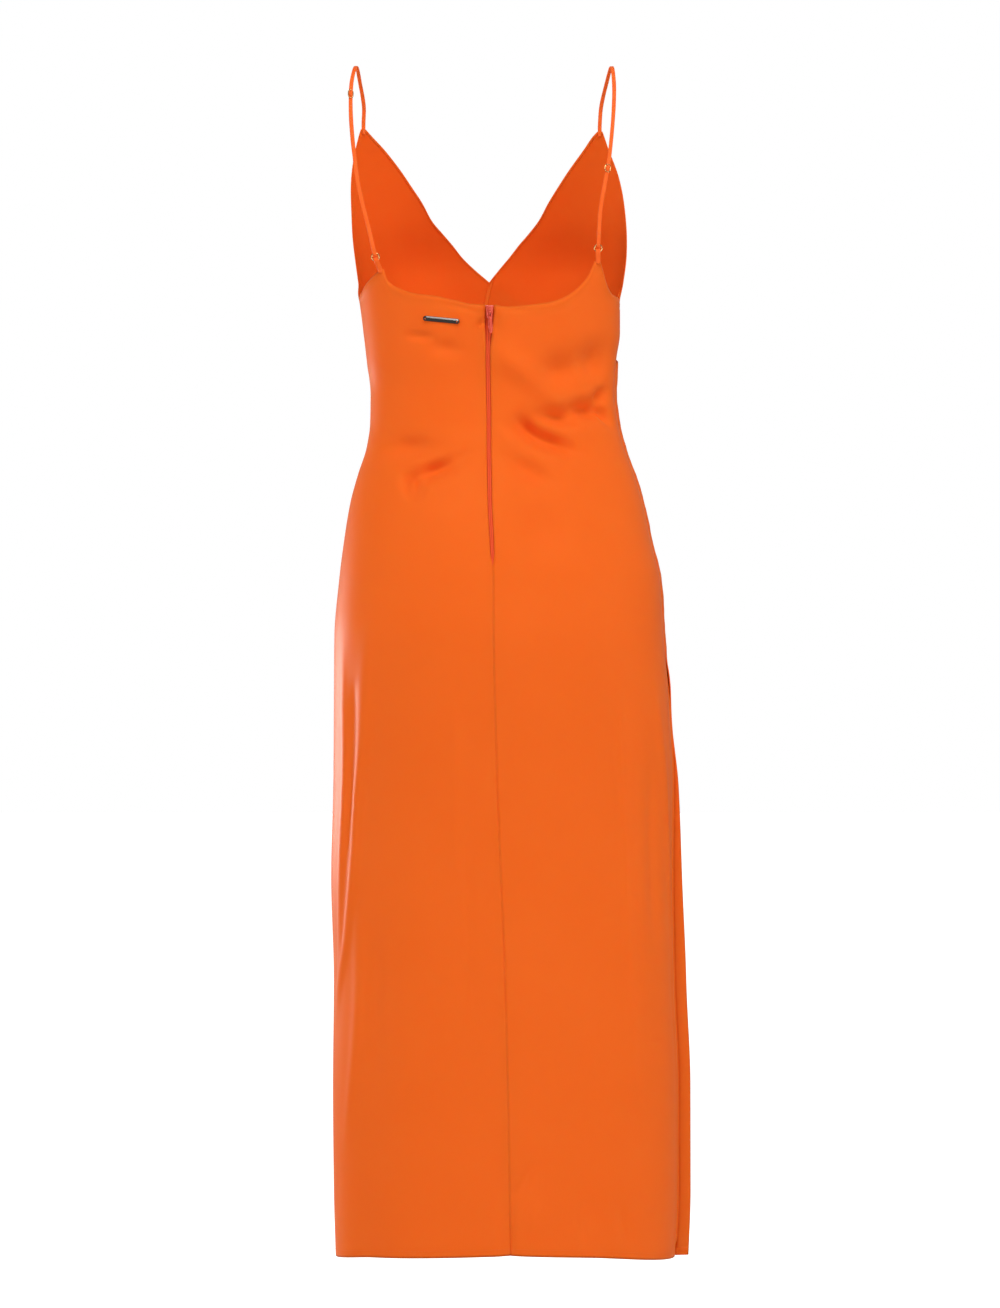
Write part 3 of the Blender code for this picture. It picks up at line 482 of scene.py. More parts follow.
def curled_corner(z):
    """Right edge of the back: along the seam, and bent in where the hem's corner curls."""
    curl, start, tall = 2.9, -1228.0, 22.0
    return seam_turn(270.0, 1)(z) + curl * ease((start - z) / tall)


# Stretches of the centre seam that are drawn in (middle, half length), and how deep and wide.
DRAWN_SEAM = ((-756, 46), (-860, 7), (-935, 52), (-1235, 30))
DRAWN_DEEP, DRAWN_WIDE = 0.7, 1.3
RIDGE_HIGH, RIDGE_TOP = 1.8, -612.0     # the pressed ridge along the slit


def back_layer(turn, z, below):
    """The neck edge rolls in, the centre seam puckers, and the right edge is pressed into a ridge."""
    from_seam = np.abs(angle_from(turn, 0.0)) * form_size("back", z)
    uneven = 0.1 + 0.07 * np.sin(z / 47)
    pucker = np.exp(-from_seam / 7) * np.sin(z / 2.6 + 2.2 * np.sin(z / 19)) * uneven
    drawn = sum(np.exp(-((z - middle) / half) ** 6) for middle, half in DRAWN_SEAM)
    groove = DRAWN_DEEP * drawn * np.exp(-(from_seam / DRAWN_WIDE) ** 2)
    roll = -1.3 * np.exp(-(below / 2.4) ** 2)
    facing_line = -0.35 * np.exp(-((below - 8.5) / 1.8) ** 2)
    from_side = np.radians(turn - 270.0) * -form_size("right", z)
    ridge = RIDGE_HIGH * ease((3.2 - from_side) / 2.6) * ease((RIDGE_TOP - z) / 70)
    return pucker - groove + roll + facing_line + np.where(turn > 180, ridge, 0.0)


def fit_piece(piece, materials, slot, node=None, body="dress"):
    """Gives a piece its materials and body, and puts it in place of a solid if it stands for one; the slot
    is not used.
    """
    for material in materials:
        piece.data.materials.append(material)
    if node:
        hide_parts(node)
    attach(piece, body)


def dress_piece(piece, node):
    """Puts a cloth panel on the dress in place of its solid, as a sheet of its cut size."""
    fit_piece(piece, (satin_face, satin_back), "satin", node)


BACK_CELL = (2.5, 2.4, 2.5)
back_left = cloth_panel("back_left_cloth", (BACK_NECK_LEFT, BACK_ARM_LEFT), False,
                        (zip_edge(1), seam_turn(90.0, -1)), back_layer, BACK_CELL,
                        (FACING, SEAM_ALLOWANCE, SEAM_ALLOWANCE, HEM_TURN))
dress_piece(back_left, "back_left")
back_right = cloth_panel("back_right_cloth", (BACK_NECK_RIGHT, BACK_ARM_RIGHT), False,
                         (curled_corner, zip_edge(-1)), back_layer, BACK_CELL,
                         (FACING, SEAM_ALLOWANCE, SEAM_ALLOWANCE, HEM_TURN), (2, 0))
dress_piece(back_right, "back_right")

# ---------------------------------------------------------------------------------------------------
# Under front. The right half of the wrap, cut in one from the strap to the hem, goes under the over
# front and ends in a narrow hemmed edge on the left, which shows inside the V.
FRONT_ARM_RIGHT = (("right seam", -246), (-138.6, -224), (-142, -196), (-141, -150), (-134.4, -110),
                   (-124, -80), (-117.8, -61.5))
FRONT_NECK_RIGHT = ((-112.6, -61.5), (-107.7, -66.5), (-99.3, -78.3), (-85.5, -96.6), (-72.8, -115),
                    (-61, -133.3), (-50.4, -152), (-40.7, -164.5), (-29.9, -177.3), (-20.2, -190.2),
                    (-9.5, -203.3), (1.3, -217.6))
FRONT_CELL, UNDERLAP_TURN = (3.6, 3.2, 5.5), (6.0, 0.7, 0.3)
UNDERLAP = ((-217.6, 179.4), (-245, 176.5), (-300, 172), (-420, 166), (-640, 159), (-1245, 155))


def under_layer(turn, z, below):
    """The under front goes down into the side seam below the over front."""
    deep, start, wide = 0.9, 266, 3.5
    return -deep * ease((turn - start) / wide)


front_right = cloth_panel("front_right_cloth", (FRONT_ARM_RIGHT, FRONT_NECK_RIGHT), True,
                          (lambda z: curve(UNDERLAP, z), seam_turn(270.0, -1)), under_layer, FRONT_CELL,
                          (NARROW_TURN, UNDERLAP_TURN, SEAM_ALLOWANCE, HEM_TURN))
dress_piece(front_right, "front_right")

# ---------------------------------------------------------------------------------------------------
# Over front. The left half of the wrap crosses the body from the left strap to the right side seam.
# Extra length is gathered into both side seams, and below the right hip its hemmed edge hangs free.
FRONT_ARM_LEFT = (("left seam", -243.5), (139, -224), (142.8, -196), (146.2, -150), (146.4, -110),
                  (142, -80), (136.8, -59.5))
FRONT_NECK_LEFT = ((131.8, -59.5), (125, -66.5), (112.5, -79), (97.7, -97), (85, -115), (72.3, -133.5),
                   (61.7, -152), (51, -164.5), (40.2, -177.3), (30.5, -190.2), (17.5, -203.3),
                   (1.3, -217.6))
WRAP_EDGE = ((1.3, -217.6), (-28, -240), (-58, -262), (-90, -284))
WRAP_END = ((-90, -284), (-116, -300), ("right seam", -312))
OVER_CELL, OVER_TURN = (5.0, 3.2, 7.0), (7.0, 0.9, 0.36)
# Distance of the over front from the form: over the under front, in the seam, and at the slit.
OVER_GAP, SEAT_GAP, EDGE_GAP = 3.4, 2.5, 1.0
# Gathers, in rows as in FOLDS: those into the right seam, the left seam, and those across the front.
GATHERS = (
    (258, -334, 80, 11, 5, 24),
    (259, -368, 88, 11, 5.8, 17),
    (259, -403, 94, 11, 6, 9),
    (260, -439, 86, 12, 5.6, 2),
    (260, -476, 90, 12, 5.8, -6),
    (260, -514, 80, 12, 5.2, -14),
    (260, -553, 84, 13, 5.2, -23),
    (260, -594, 70, 13, 4.4, -33),
    (101, -286, 36, 10, 3, -14),
    (101, -320, 46, 10, 3.6, -8),
    (102, -355, 42, 10, 3.4, -2),
    (102, -392, 50, 11, 3.6, 5),
    (102, -432, 44, 11, 3.4, 12),
    (101, -474, 46, 12, 3.4, 20),
    (101, -518, 38, 12, 3, 28),
    (212, -356, 100, 14, 4.6, 22),
    (196, -426, 110, 15, 5, 7),
    (212, -520, 100, 16, 4.8, -20),
    (206, -640, 110, 18, 4, -48),
    (158, -334, 80, 14, 3.4, 4),
)
# How far the free edge stands out from the body, from the hip to the hem.
FLARE = ((-300, 0), (-620, 0), (-700, 1.6), (-760, 6.0), (-840, 9.6), (-960, 13.0), (-1252, 13.7))
CURL = 3.4              # width of the free edge that stands away from the body
# Runs of small gathers: seam's turn, how many, lowest and highest, slope of the highest, and their fan.
SMALL_GATHERS = ((266.0, 27, -612.0, -322.0, 24.0, -56.0), (94.0, 21, -535.0, -275.0, -16.0, 44.0))
SEWN_FLAT = 0.08        # share of a gather's height that is left at the seam
SLIT_TOP = -660.0
MEAN_RADIUS = 150.0     # mean distance of the cloth from the middle of the form
EDGE_LEAN = 0.4         # how far the free edge leans forward, for each mm that it stands out


def small_gathers(turn, z):
    """Short narrow gathers between the main ones at both seams, uneven in length, depth and spacing."""
    total = np.zeros(np.broadcast(turn, z).shape)
    for seam, count, low, high, start, fan in SMALL_GATHERS:
        for k in range(count):
            share = (k + 0.5) / count + 0.018 * sin(5.1 * k)
            long, tall = 30.0 + 12.0 * sin(2.3 * k + 1.0), 1.25 + 0.55 * sin(3.7 * k)
            row = (seam, high + (low - high) * share, long, 3.9, tall, start + fan * share)
            total += fold_height([row], turn, z, MEAN_RADIUS)
    return total


def over_layer(turn, z, below):
    """The over front leaves the left seam, passes over the under front, and curls at its free edge."""
    lift = OVER_GAP * ease((turn - 96) / 40)
    sewn = ease((turn - 255) / 14) * ease((z - SLIT_TOP) / 40)
    edge = np.radians(270.0 - turn) * -form_size("right", z)
    lift = lift + (SEAT_GAP - lift) * sewn
    lift = lift + (EDGE_GAP - lift) * ease((40 - edge) / 36) * ease((HIP_Z - z) / 60)
    gather = np.maximum(fold_height(GATHERS, turn, z, MEAN_RADIUS), 0.0)
    for from_seam, fade in ((turn - 94, 26), (265 - turn, 28)):
        gather = gather * (SEWN_FLAT + (1 - SEWN_FLAT) * ease(from_seam / fade))
    bent = np.clip((CURL - edge) / CURL, 0.0, 1.0)
    stand = curve(FLARE, z) * (0.04 * ease((turn - 228) / 34) + 0.96 * bent * bent * (2 - bent))
    into_seam = -1.9 * ease((turn - 266.5) / 3.2) * ease((z - HIP_Z) / 30)
    fine = small_gathers(turn, z) * ease((turn - 90.2) / 13) * ease((269.8 - turn) / 13)
    return lift + gather + stand + into_seam + fine


front_left = cloth_panel("front_left_cloth", (FRONT_ARM_LEFT, FRONT_NECK_LEFT, WRAP_EDGE, WRAP_END), True,
                         (seam_turn(90.0, 1), seam_turn(270.0, -1)), over_layer, OVER_CELL,
                         (NARROW_TURN, SEAM_ALLOWANCE, OVER_TURN, HEM_TURN), (0, 8))
for vert in front_left.data.vertices:
    x, z = vert.co.x / MM, vert.co.z / MM
    past = form_size("right", z) - CURL - x
    if z < SLIT_TOP and vert.co.y > -8.0 * MM and past > 0:
        vert.co.y -= EDGE_LEAN * past * MM
dress_piece(front_left, "front_left")

# ---------------------------------------------------------------------------------------------------
# Hem stitching. The hem is turned up once and sewn with one row of lockstitch, in thread dyed to match.
# A stitch is 3 mm long; the thread is drawn 0.3 mm thick, a little over its real size.
HEM_DEEP, STITCH_STEP, STITCH_LONG, THREAD = 7.0, 3.2, 2.5, 0.3


def thread_material(name, code):
    """Twisted polyester sewing thread: soft, with a faint ply."""
    material = new_material(name)
    twist = add_node(material, "ShaderNodeTexWave", {"Scale": 900.0, "Distortion": 1.0})
    return finish(material, twist, code, code, twist, (0.3, 0.05), {"Roughness": 0.55, "Sheen Weight": 0.1})


def stitches(name, lines):
    """Joined mesh of stitches along lines of (middle, along, outward) rows."""
    verts, faces = [], []
    for line in lines:
        for middle, along, out in line:
            across = np.cross(along, out)
            base = len(verts)
            for end in (-1, 1):
                verts.append(middle + along * (end * STITCH_LONG / 2) - out * (THREAD * 0.6))
            for side in range(6):
                angle = 2 * pi * side / 6
                verts.append(middle + across * (cos(angle) * THREAD / 2) + out * (sin(angle) * THREAD / 2))
            for side in range(6):
                here, following = base + 2 + side, base + 2 + (side + 1) % 6
                faces.append((base, following, here))
                faces.append((base + 1, here, following))
    return new_piece(name, verts, faces)


def hem_line(first, last, layer):
    """Stitches along one panel's hem, between two turns."""
    girth = np.radians(last - first) * MEAN_RADIUS
    turn = np.linspace(first, last, round(girth / STITCH_STEP))
    z = curve(HEM, turn) + HEM_DEEP
    out = OUTER + CLOTH / 2 + layer(turn, z, 900.0)
    middle = on_form(turn, z, out + THREAD * 0.2)
    along = on_form(turn + 0.4, z, out) - on_form(turn - 0.4, z, out)
    along /= np.linalg.norm(along, axis=1, keepdims=True)
    outward = on_form(turn, z, out + 1.0) - on_form(turn, z, out)
    return zip(middle, along, outward)


hem_thread = thread_material("polyester_thread_orange", "EE6420")
hem_stitching = stitches("hem_stitching", (
    hem_line(1.0, 89.0, back_layer), hem_line(273.5, 359.0, back_layer),
    hem_line(91.0, 267.0, over_layer), hem_line(158.0, 269.0, under_layer)))
fit_piece(hem_stitching, [hem_thread], "satin")

# ---------------------------------------------------------------------------------------------------
# Concealed zip. Two woven polyester tapes fold over their nylon coils and meet in the centre-back seam,
# so that only the folds show. A small lacquered slider with a long flat pull closes it at the top.
TAPE_HALF = ((-200, 4.3), (-266, 4.0), (-292, 2.2), (-480, 1.95), (-512, 1.8), (-531, 0.3))
TAPE_TOP, TAPE_END = -259.5, -531.0
TAPE_SINK = ((-259, 2.6), (-276, 2.6), (-290, 0.9), (-300, 0.0), (-531, 0.0))  # under the slider
COIL_PITCH, COIL_WIDE, COIL_WIRE = 1.4, 2.1, 0.36


def woven_tape(name, light, deep, rib):
    """Narrow woven polyester tape: matt, with fine ribs along it."""
    material = new_material(name)
    grain = add_node(material, "ShaderNodeUVMap", {"uv_map": "grain"})
    ribs = add_node(material, "ShaderNodeTexWave", {"Scale": 1000 / rib / (2 * pi), "Distortion": 0.6},
                    {"Vector": grain.outputs["UV"]})
    return finish(material, ribs, light, deep, ribs, (0.4, 0.08),
                  {"Roughness": 0.6, "Specular IOR Level": 0.3, "Sheen Weight": 0.1})


def zip_tape_half(name, way):
    """One tape: flat under the back panel, folded forward beside the centre line and back inside."""
    z = np.linspace(TAPE_TOP, TAPE_END, 140)[:, None]
    half, sink = curve(TAPE_HALF, z), curve(TAPE_SINK, z)
    fold = [(0.07, -1.5), (0.07, -0.6), (0.11, 0.1), (0.24, 0.5), (0.5, 0.62), (0.76, 0.5), (0.93, 0.1),
            (1.0, -0.5), (1.0, -1.0)]
    level = np.concatenate([np.maximum(half * share, 0.12) for share, _ in fold]
                           + [half + reach_under for reach_under in (1.2, 3.0, 5.4)], axis=1)
    out = np.concatenate([height - sink for _, height in fold] + [-1.2 - sink] * 3, axis=1)
    turn = way * np.degrees(level / form_size("back", z))
    places = on_form(turn, np.broadcast_to(z, turn.shape), out)
    piece = cloth_mesh(name, places if way < 0 else places[:, ::-1])
    piece.modifiers["cloth"].thickness = 0.3 * MM
    return piece


zip_cloth = woven_tape("woven_polyester_zip_tape", "F45A20", "DE4214", 0.4)
for side, way in (("left", 1), ("right", -1)):
    fit_piece(zip_tape_half("zip_tape_" + side, way), (zip_cloth, zip_cloth), "zip_tape", "zip_tape")


def tube(name, places, radius, sides, closed=False):
    """Round tube along a list of places."""
    places = np.asarray(places, float)
    count = len(places)
    if closed:
        way = np.roll(places, -1, axis=0) - np.roll(places, 1, axis=0)
    else:
        way = np.gradient(places, axis=0)
    way /= np.linalg.norm(way, axis=1, keepdims=True)
    across = np.zeros_like(places)
    start = np.array((0.0, 0.0, 1.0)) if abs(way[0, 2]) < 0.9 else np.array((1.0, 0.0, 0.0))
    for i in range(count):
        start = start - way[i] * start.dot(way[i])
        start /= np.linalg.norm(start)
        across[i] = start
    other = np.cross(way, across)
    angle = np.linspace(0.0, 2 * pi, sides, endpoint=False)
    ring = (places[:, None, :] + across[:, None, :] * (radius * np.cos(angle))[None, :, None]
            + other[:, None, :] * (radius * np.sin(angle))[None, :, None])
    index = np.arange(count * sides).reshape(count, sides)
    index = np.concatenate((index, index[:1])) if closed else index
    a, b = index[:-1], index[1:]
    faces = np.stack((a, np.roll(a, -1, 1), np.roll(b, -1, 1), b), -1).reshape(-1, 4).tolist()
    if not closed:
        faces += [tuple(index[0][::-1]), tuple(index[-1])]
    return new_piece(name, ring, faces)


turns = round((TAPE_TOP - 6.0 - TAPE_END) / COIL_PITCH)
coil_at = np.linspace(0.0, turns, turns * 10)
coil_z = TAPE_TOP - 6.0 - coil_at * COIL_PITCH
coil_turn = np.degrees(COIL_WIDE * np.cos(2 * pi * coil_at) / form_size("back", coil_z))
coil = tube("zip_coil", on_form(coil_turn, coil_z, -2.6 + 0.7 * np.sin(2 * pi * coil_at)), COIL_WIRE, 6)
nylon = new_material("nylon_coil")
nylon_shade = add_node(nylon, "ShaderNodeBsdfPrincipled", {"Base Color": srgb("E2553A"), "Roughness": 0.35})
add_node(nylon, "ShaderNodeOutputMaterial", {}, {"Surface": nylon_shade.outputs["BSDF"]})
fit_piece(coil, [nylon], "zip_tape")

SLIDE_THICK, SLIDE_RISE = 2.0, 2.5      # thickness of the slider, and its middle out from the form
SLIDE_HALF = ((3.6, 7.2), (4.3, 6.8), (4.2, 5.8), (3.5, 4.4), (3.3, 0.5), (2.9, -3.4), (2.5, -6.2),
              (1.8, -7.0))
SLIDE_HOLE_HALF = ((0.8, -0.9), (1.15, -1.5), (1.15, -3.2), (0.7, -4.0))
BRIDGE = ((1.9, 0.6), (1.9, 1.9), (1.2, 2.9), (0.0, 3.35), (-1.6, 3.45), (-3.1, 3.1), (-3.9, 2.2),
          (-3.9, 0.6))
PULL_THICK, PULL_CROWN, PULL_REACH, PULL_ASKEW = 0.9, 0.7, 2.6, 4.0
PULL_HALF = ((1.3, 0.55), (2.2, 0.1), (2.55, -0.9), (2.55, -4.6), (2.2, -6.0), (1.7, -7.4), (1.75, -9.6),
             (2.2, -12.6), (2.35, -15.5), (2.05, -18.8), (1.35, -21.3), (0.6, -22.3))
PULL_HOLE_HALF = ((0.7, -0.55), (1.2, -0.85), (1.35, -1.5), (1.35, -4.2), (1.1, -4.9), (0.6, -5.2))


def weld(mesh, gap, ends=False):
    """Joins a mesh's points that lie within a gap of each other, and fills its open ends if asked."""
    form = bmesh.new()
    form.from_mesh(mesh)
    bmesh.ops.remove_doubles(form, verts=form.verts, dist=gap * MM)
    if ends:
        bmesh.ops.holes_fill(form, edges=[edge for edge in form.edges if edge.is_boundary], sides=0)
    bmesh.ops.recalc_face_normals(form, faces=form.faces)
    form.to_mesh(mesh)
    form.free()


def plate(name, halves, thick, rounded):
    """Plate with rounded edges, from right half outlines whose corners are eased; inner ones are holes."""
    shape = bpy.data.curves.new(name, "CURVE")
    shape.dimensions = "2D"
    shape.fill_mode = "BOTH"
    shape.extrude = (thick / 2 - rounded) * MM
    shape.bevel_depth = rounded * MM
    shape.bevel_resolution = 4
    shape.offset = -rounded * MM
    for half in halves:
        outline = np.array(list(half) + [(-x, z) for x, z in reversed(half)])
        for _ in range(2):
            ahead = np.roll(outline, -1, axis=0)
            outline = np.stack((0.8 * outline + 0.2 * ahead, 0.2 * outline + 0.8 * ahead), 1).reshape(-1, 2)
        spline = shape.splines.new("POLY")
        spline.points.add(len(outline) - 1)
        for point, (x, z) in zip(spline.points, outline):
            point.co = (x * MM, z * MM, 0.0, 1.0)
        spline.use_cyclic_u = True
    flat = bpy.data.objects.new(name + "_outline", shape)
    mesh = bpy.data.meshes.new_from_object(flat)
    bpy.data.objects.remove(flat)
    mesh.name = name
    mesh.transform(Matrix.Rotation(pi / 2, 4, "X"))
    weld(mesh, 0.002)
    mesh.shade_smooth()
    mesh.set_sharp_from_angle(angle=radians(40))
    piece = bpy.data.objects.new(name, mesh)
    bpy.context.scene.collection.objects.link(piece)
    return piece


def lacquer(name, light, deep):
    """Zinc die casting under a dyed lacquer: glossy, thinner and darker where hands and tape rub it."""
    material = new_material(name)
    spots = add_node(material, "ShaderNodeTexNoise", {"Scale": 700.0, "Detail": 2.0})
    return finish(material, spots, light, deep, spots, (0.15, 0.05),
                  {"Roughness": 0.3, "Metallic": 0.35, "Coat Weight": 0.6, "Coat Roughness": 0.08})


pull_axis = Vector(frame["record"]["behaviour"]["joints"][0]["pos_m"])
low, high = (Vector(on_form(0.0, pull_axis.z / MM + step)) for step in (-6.0, 6.0))
lean = Matrix.Rotation(-atan2(high.y - low.y, high.z - low.z), 4, "X")
seat = (low + high) / 2 + lean @ Vector((0.0, SLIDE_RISE, 0.0))
slide_place = Matrix.Translation(seat * MM) @ lean
zip_lacquer = lacquer("dyed_lacquer_on_zinc", "F65C40", "C4301C")

slide = plate("zip_slider_body", [SLIDE_HALF, SLIDE_HOLE_HALF], SLIDE_THICK, 0.7)
bridge = tube("zip_slider_bridge", [(0.0, out, up) for up, out in BRIDGE], 0.55, 12)
for piece in (slide, bridge):
    piece.matrix_world = slide_place
    fit_piece(piece, [zip_lacquer], "zip_lacquer", "zip_slider")

pull = plate("zip_pull_plate", [PULL_HALF, PULL_HOLE_HALF], PULL_THICK, 0.42)
bent_plate = bmesh.new()
bent_plate.from_mesh(pull.data)
for step in np.arange(-2.2, 2.3, 0.4):      # cuts along the pull, so that it can be crowned
    bmesh.ops.bisect_plane(bent_plate, geom=bent_plate.verts[:] + bent_plate.edges[:] + bent_plate.faces[:],
                           plane_co=(step * MM, 0.0, 0.0), plane_no=(1.0, 0.0, 0.0))
bent_plate.to_mesh(pull.data)
bent_plate.free()
for vert in pull.data.vertices:
    vert.co.y += PULL_CROWN * MM * (1 - (vert.co.x / (PULL_REACH * MM)) ** 2)
pull.data.transform(Matrix.Rotation(radians(PULL_ASKEW), 4, "Y"))
pull.location = pull_axis
fit_piece(pull, [zip_lacquer], "zip_lacquer", "zip_pull", "zip_pull")

# ---------------------------------------------------------------------------------------------------
# Straps. Each is a rouleau: a bias strip of the same satin, sewn into a tube, turned right side out and
# pressed flat. It runs from the front over the shoulder, down through its ring and back up, doubled, to
# the bar of a slider that sets its length. A short tab of the same tube holds the ring on the back.
STRAP_WIDE, STRAP_THICK = 4.1, 1.8
TAB_WIDE, TAB_FOOT = 4.9, 2.4   # width of a tab, and how far it reaches down the back panel
STRAP_STEP = 1.5        # between the sections of a strap
SEAM = 0.3              # gap between pieces that are sewn or hooked to each other
RING_RADIUS, RING_WIRE = 3.9, 0.65
WRAP_ROUND = RING_WIRE + SEAM + 0.8     # from the wire's middle to the cloth's middle round it
LOOP_DEPTH, STRAND_APART, CLOSE_OVER = 2.6, 2.0, 24.0
SEW_LENGTH, SEWN_UNDER = 6.0, 5.0       # straight start of a strap, and its end inside the front's top
SLACK = 0.35            # how far the under strand wanders from the upper one
LEAD_IN = (9.0, 2.0)    # heights over the wire at which a strap runs straight down to it
STRAP_LEFT = ((135.2, -58.5, -36), (138.4, -42, -15),
              (142, -12, 0.8), (146, 8, -17), (147, 13, -40), (145.6, 22, -66), (142.6, 34, -96),
              (138.4, 45, -127), (132, 54, -155), (125.6, 60, -180))
STRAP_RIGHT = ((-117, -63.5, -36), (-122, -45, -14),
               (-127, -14, 0.8), (-129, 8, -20), (-128.4, 18, -46), (-126, 29, -76),
               (-122.4, 40, -107), (-117.6, 49, -133), (-113.6, 55, -158), (-112.2, 60, -178))
RING_LEFT, RING_RIGHT = (119.6, 65.5, -206.0), (-111.2, 65.5, -197.0)
SLIDER_LEFT_Z, SLIDER_RIGHT_Z = -30.0, -111.0
SLIDER_WIDE, SLIDER_TALL, SLIDER_WIRE, SLIDER_BAR_WIRE = 6.2, 8.4, 0.5, 0.45
SLIDER_TWIST = {"left": 0.75, "right": 0.5}     # how far a slider turns on its strap
OVER_BAR = 3.1          # how far a strap rises to pass over its slider's bar
ACROSS, OUT, UP = np.eye(3)


def unit(way):
    """Direction of a vector, or of each row of them."""
    way = np.asarray(way, float)
    return way / np.linalg.norm(way, axis=-1, keepdims=True)


def smooth_route(points, spacing):
    """Points about `spacing` apart on the smooth curve through a short list of 3-D points."""
    points = np.asarray(points, float)
    run = np.concatenate(([0.0], np.cumsum(np.linalg.norm(np.diff(points, axis=0), axis=1))))
    at = np.linspace(0.0, run[-1], round(run[-1] / spacing) + 1)
    slope = np.empty_like(points)
    slope[1:-1] = (points[2:] - points[:-2]) / (run[2:] - run[:-2])[:, None]
    slope[0], slope[-1] = ((points[b] - points[a]) / (run[b] - run[a]) for a, b in ((0, 1), (-2, -1)))
    i = np.clip(np.searchsorted(run, at, side="right") - 1, 0, len(run) - 2)
    wide = (run[i + 1] - run[i])[:, None]
    return hermite((at - run[i])[:, None] / wide, wide, points[i], points[i + 1], slope[i], slope[i + 1])


def flat_top(front, ends, layer):
    """Middle of the cloth at the short flat top between two edges, and the way the cloth rises there."""
    (x0, z0), (x1, z1) = ends
    z = (z0 + z1) / 2
    turn = turn_at((x0 + x1) / 2, z, front)
    inner = OUTER - FACING[1] / 2
    middle = on_form(turn, z, inner + layer(turn, z, 30.0))
    rise = middle - on_form(turn, z - SEW_LENGTH, inner + layer(turn, z, 30.0))
    rise[0] = 0.0
    return middle, unit(rise)


def up_the_strap(ring_place, above):
    """Direction from a ring up its strap, in the plane of the ring."""
    up = np.subtract(above, ring_place)
    up[1] = 0.0
    return unit(up)


def round_wire(wire, reach_past):
    """Half turn of cloth round a ring's wire, from its outer side to its inner side."""
    angle = np.linspace(0.0, pi, 17)[:, None]
    return wire + OUT * WRAP_ROUND * np.cos(angle) + reach_past * np.sin(angle)


def strap_route(route, ring_place, sewn, slider_z):
    """A strap's whole route, and the place of its slider's bar on it."""
    start, rise = sewn
    up = up_the_strap(ring_place, route[-1])
    wire = ring_place + up * RING_RADIUS
    first = [start - rise * SEWN_UNDER, start + rise * SEAM, start + rise * (SEAM + SEW_LENGTH)]
    last = [wire + OUT * WRAP_ROUND + up * height for height in LEAD_IN]
    main = smooth_route(first + list(route) + last, STRAP_STEP)
    way = unit(np.gradient(main, axis=0))
    facing = unit(OUT - way * way[:, 1:2])
    behind = np.where((main[:, 1] > 0) & (main[:, 2] < slider_z))[0]
    bar = behind[0]
    run = np.cumsum(np.linalg.norm(np.diff(main, axis=0, prepend=main[:1]), axis=1))
    close = ease(np.linalg.norm(main - wire, axis=1) / CLOSE_OVER)
    apart = 2 * WRAP_ROUND + (STRAND_APART - 2 * WRAP_ROUND) * close
    back = (main - facing * apart[:, None])[behind[2:]]
    slack = np.sin((run[behind[2:]] - run[bar]) / 23.0) * SLACK * close[behind[2:]]
    back[:, 0] += slack
    seat = main[bar].copy(), facing[bar], unit(main[bar + 1] - main[bar - 1])
    main = main + facing * (OVER_BAR * np.exp(-((run - run[bar]) / 2.2) ** 2))[:, None]
    return np.concatenate((main, round_wire(wire, -up * LOOP_DEPTH), back[::-1])), seat


def tab_route(ring_place, sewn, above):
    """A tab's route: up the outer side, over the lower side of the ring's wire, and down again."""
    peak, rise = sewn
    up = up_the_strap(ring_place, above)
    foot = peak - rise * TAB_FOOT
    bend = round_wire(ring_place - up * RING_RADIUS, up * LOOP_DEPTH)
    half = OUT * (CLOTH + 0.75)
    outer = [foot + half, peak + half]
    inner = [peak - half, foot - half]
    return np.concatenate((smooth_route(outer + [bend[0]], 1.0)[:-1], bend,
                           smooth_route([bend[-1]] + inner, 1.0)[1:]))


def rouleau(name, route, strap_wide):
    """Flat tube of cloth along a route, its width level, with a seam along its inner face."""
    sides = 20
    way = unit(np.gradient(route, axis=0))
    across = unit(ACROSS - way * way[:, :1])
    facing = np.cross(across, way)
    facing *= np.where((facing[:1] * OUT).sum() < 0, -1.0, 1.0)
    run = np.cumsum(np.linalg.norm(np.diff(route, axis=0, prepend=route[:1]), axis=1))[:, None]
    angle = np.linspace(0.0, 2 * pi, sides, endpoint=False)[None, :]
    level, deep = np.cos(angle), np.sin(angle)
    level, deep = np.sign(level) * np.abs(level) ** 0.8, np.sign(deep) * np.abs(deep) ** 0.75
    pull = np.sin(run / 3.1 + 1.7 * np.sin(run / 11.0) + 1.1 * level) * np.sin(run / 37.0 + 1.0)
    wide = strap_wide / 2 * (1 + 0.025 * np.sin(run / 17.0) + 0.012 * np.sin(run / 4.7))
    thick = STRAP_THICK / 2 * (1 + 0.05 * pull) - 0.16 * np.exp(-(level / 0.16) ** 2) * (deep < 0)
    places = (route[:, None] + across[:, None] * (level * wide)[..., None]
              + facing[:, None] * (deep * thick)[..., None])
    places = np.concatenate((places, places[:, :1]), axis=1)
    piece = cloth_mesh(name, places)
    piece.modifiers.clear()
    weld(piece.data, 0.01, True)
    piece.data.shade_smooth()
    return piece


